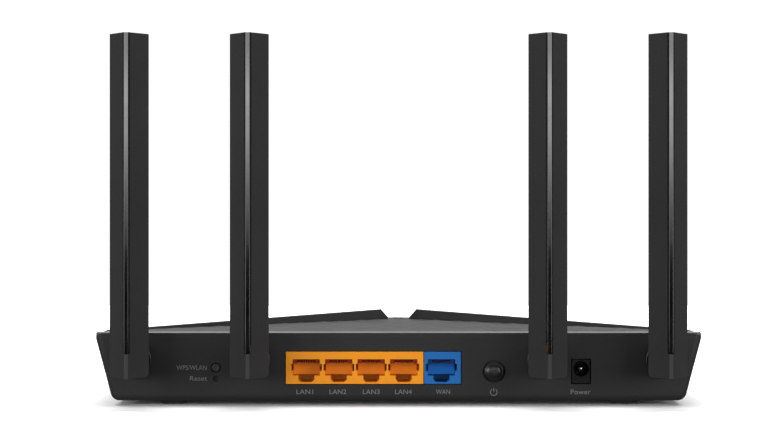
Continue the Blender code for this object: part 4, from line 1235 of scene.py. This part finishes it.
CAP_HEIGHT = 2.0
FONT_CAP_SHARE = 0.69
PRINT_THICK = 0.04
SIGN_PLACE = (-41.0, 3.8)
SIGN_RADII = (1.6, 1.28)
SIGN_OPENING = (125, 415)
SIGN_BAR = (0.2, 1.75)
LABELS = (
    ("LAN1", 40.2, 3.8, 7.2),
    ("LAN2", 26.2, 3.8, 7.2),
    ("LAN3", 11.8, 3.8, 7.2),
    ("LAN4", -2.0, 3.8, 7.2),
    ("WAN", -19.2, 3.8, 6.1),
    ("Power", -78.3, 3.8, 8.5),
    ("WPS/WLAN", 89.1, 14.2, 13.0),
    ("Reset", 86.3, 9.6, 7.4),
)


def text_mesh(words, width):
    """Words as a thin solid that reads from +Y, fitted to a width."""
    curve = bpy.data.curves.new("words", "FONT")
    curve.body = words
    curve.size = CAP_HEIGHT / FONT_CAP_SHARE
    curve.align_x = "CENTER"
    curve.align_y = "CENTER"
    curve.extrude = PRINT_THICK / 2
    curve.resolution_u = 3
    line = placed("words", curve)
    mesh = evaluated_mesh(line)
    bpy.data.objects.remove(line)
    bpy.data.curves.remove(curve)
    across = [vert.co.x for vert in mesh.vertices]
    stretch = width / (max(across) - min(across))
    mesh.transform(Matrix(((-stretch, 0, 0, 0), (0, 0, 1, 0), (0, 1, 0, 0), (0, 0, 0, 1))))
    return mesh


def add_power_sign(bm, x, z):
    """A ring open at the top with an upright bar through the opening."""
    outer, inner = SIGN_RADII
    start, end = SIGN_OPENING
    ring = arc((x, z), outer, start, end, 28) + arc((x, z), inner, end, start, 28)
    ends = (REAR_Y, REAR_Y + PRINT_THICK)
    add_prism(bm, ring, "Y", *ends)
    half = (outer - inner) / 2
    add_box(bm, (x - half, x + half), ends, (z + SIGN_BAR[0], z + SIGN_BAR[1]))


def build_labels():
    bm = bmesh.new()
    for words, x, height, width in LABELS:
        mesh = text_mesh(words, width)
        mesh.transform(Matrix.Translation((x, REAR_Y + PRINT_THICK / 2, STAND + height)))
        bm.from_mesh(mesh)
        bpy.data.meshes.remove(mesh)
    add_power_sign(bm, SIGN_PLACE[0], STAND + SIGN_PLACE[1])
    add_piece("rear_print", finished(bm, "rear_print"), "ink")


# Studio

CAMERA_BACK = 1000.0
CAMERA_Z = 88.2
CAMERA_LENS = 108.8
IMAGE_WIDTH = 768.0
SHIFT_X = -14.6
SHIFT_Y = -15.2
FLOOR_HALF_WIDTH = 950.0
FLOOR_FRONT_Y = -900.0
FLOOR_REAR_Y = 650.0
FLOOR_THICK = 0.4
FLOOR_CORNER = 60.0
SENSOR_WIDTH = 36.0
CLIP = (0.01, 100.0)

# Round the camera's side of the world: a level from straight down (0) to straight up (1), and a grey
WORLD_BAND = ((0.0, 0.003), (0.487, 0.005), (0.5, 0.2), (0.521, 0.85))
WORLD_BAND += ((0.535, 0.48), (0.57, 0.06), (0.7, 0.02), (1.0, 0.03))
WORLD_STRENGTH = 7.0
BACKDROP_STRENGTH = 1.1

# Area lights: place, target, size and watts
LIGHTS = {
    "overhead": ((0.0, -620.0, 1200.0), (0.0, -620.0, 0.0), (2400.0, 1300.0), 54.0),
    "left_side": ((-900.0, 800.0, 200.0), (0.0, REAR_Y, 60.0), (1000.0, 500.0), 10.7),
    "right_side": ((900.0, 800.0, 200.0), (0.0, REAR_Y, 60.0), (1000.0, 500.0), 10.7),
}


def set_world():
    """A white backdrop, and on the camera's side a soft bright band."""
    world = bpy.data.worlds.new("studio")
    world.use_nodes = True
    tree = world.node_tree
    background = tree.nodes["Background"]
    coordinates = add_node(tree, "TexCoord").outputs["Generated"]
    axes = add_node(tree, "SeparateXYZ", {"Vector": coordinates}).outputs
    ramp = add_node(tree, "ValToRGB", {"Fac": between(tree, axes["Z"], 0.0, 1.0, -1.0, 1.0)})
    elements = ramp.color_ramp.elements
    while len(elements) < len(WORLD_BAND):
        elements.new(0.5)
    for element, (position, value) in zip(elements, WORLD_BAND):
        element.position = position
        element.color = (value, value, value, 1.0)
    sideways = add_node(tree, "Math", {0: axes["X"]}, operation="ABSOLUTE").outputs[0]
    to_side = between(tree, sideways, 0.0, 1.0, 0.25, 0.75)
    front_side = mixed(tree, to_side, (0.034,) * 3, (0.016,) * 3)
    past_band = between(tree, sideways, 0.0, 1.0, 0.28, 0.4)
    rear_side = mixed(tree, past_band, ramp.outputs["Color"], (0.012,) * 3)
    sky = mixed(tree, between(tree, axes["Y"], 0.0, 1.0, 0.1, 0.7), front_side, rear_side)
    seen = add_node(tree, "LightPath").outputs["Is Camera Ray"]
    tree.links.new(sky, background.inputs["Color"])
    background.inputs["Strength"].default_value = WORLD_STRENGTH
    backdrop = {"Color": (1.0, 1.0, 1.0, 1.0), "Strength": BACKDROP_STRENGTH}
    white = add_node(tree, "Background", backdrop).outputs[0]
    mix = add_node(tree, "MixShader", {0: seen, 1: background.outputs[0], 2: white})
    tree.links.new(mix.outputs[0], tree.nodes["World Output"].inputs["Surface"])
    bpy.context.scene.world = world


def add_softbox(name, place, target, size, power):
    light = bpy.data.lights.new(name, "AREA")
    light.shape = "RECTANGLE"
    light.size, light.size_y = (value * MM for value in size)
    light.energy = power
    lamp = placed(name, light)
    lamp.location = [value * MM for value in place]
    aim = Vector(target) - Vector(place)
    lamp.rotation_euler = aim.to_track_quat("-Z", "Y").to_euler()


def add_floor():
    """A pale floor. It takes shadows and throws no light on the object."""
    material, tree, shader = start_material("floor_paper", 0.9, specular=0.1)
    speck = noise(tree, 60.0, detail=3.0)
    paper = mixed(tree, between(tree, speck), (0.9,) * 3, (0.93,) * 3)
    tree.links.new(paper, shader.inputs["Base Color"])
    bm = bmesh.new()
    half, front, rear = FLOOR_HALF_WIDTH, FLOOR_FRONT_Y, FLOOR_REAR_Y
    outline = rounded([(-half, front), (half, front), (half, rear), (-half, rear)], FLOOR_CORNER)
    add_prism(bm, outline, "Z", -FLOOR_THICK, 0.0)
    mesh = finished(bm, "floor")
    mesh.materials.append(material)
    floor = placed("floor", mesh)
    floor.visible_diffuse = False
    floor.visible_glossy = False


def add_camera():
    camera = bpy.data.cameras.new("camera")
    camera.lens = CAMERA_LENS
    camera.sensor_width = SENSOR_WIDTH
    camera.shift_x = SHIFT_X / IMAGE_WIDTH
    camera.shift_y = SHIFT_Y / IMAGE_WIDTH
    camera.clip_start, camera.clip_end = CLIP
    holder = placed("camera", camera)
    holder.location = (0.0, (REAR_Y + CAMERA_BACK) * MM, CAMERA_Z * MM)
    holder.rotation_euler = (radians(90), 0.0, radians(180))
    bpy.context.scene.camera = holder


def build_studio():
    set_world()
    add_floor()
    for name, settings in LIGHTS.items():
        add_softbox(name, *settings)
    add_camera()
    bpy.context.scene.view_settings.view_transform = "Standard"


build_bottom_case()
build_lid()
build_wings()
build_sockets()
build_inlet()
build_buttons()
build_antennas()
build_small_parts()
dress_inside()
build_labels()
build_studio()
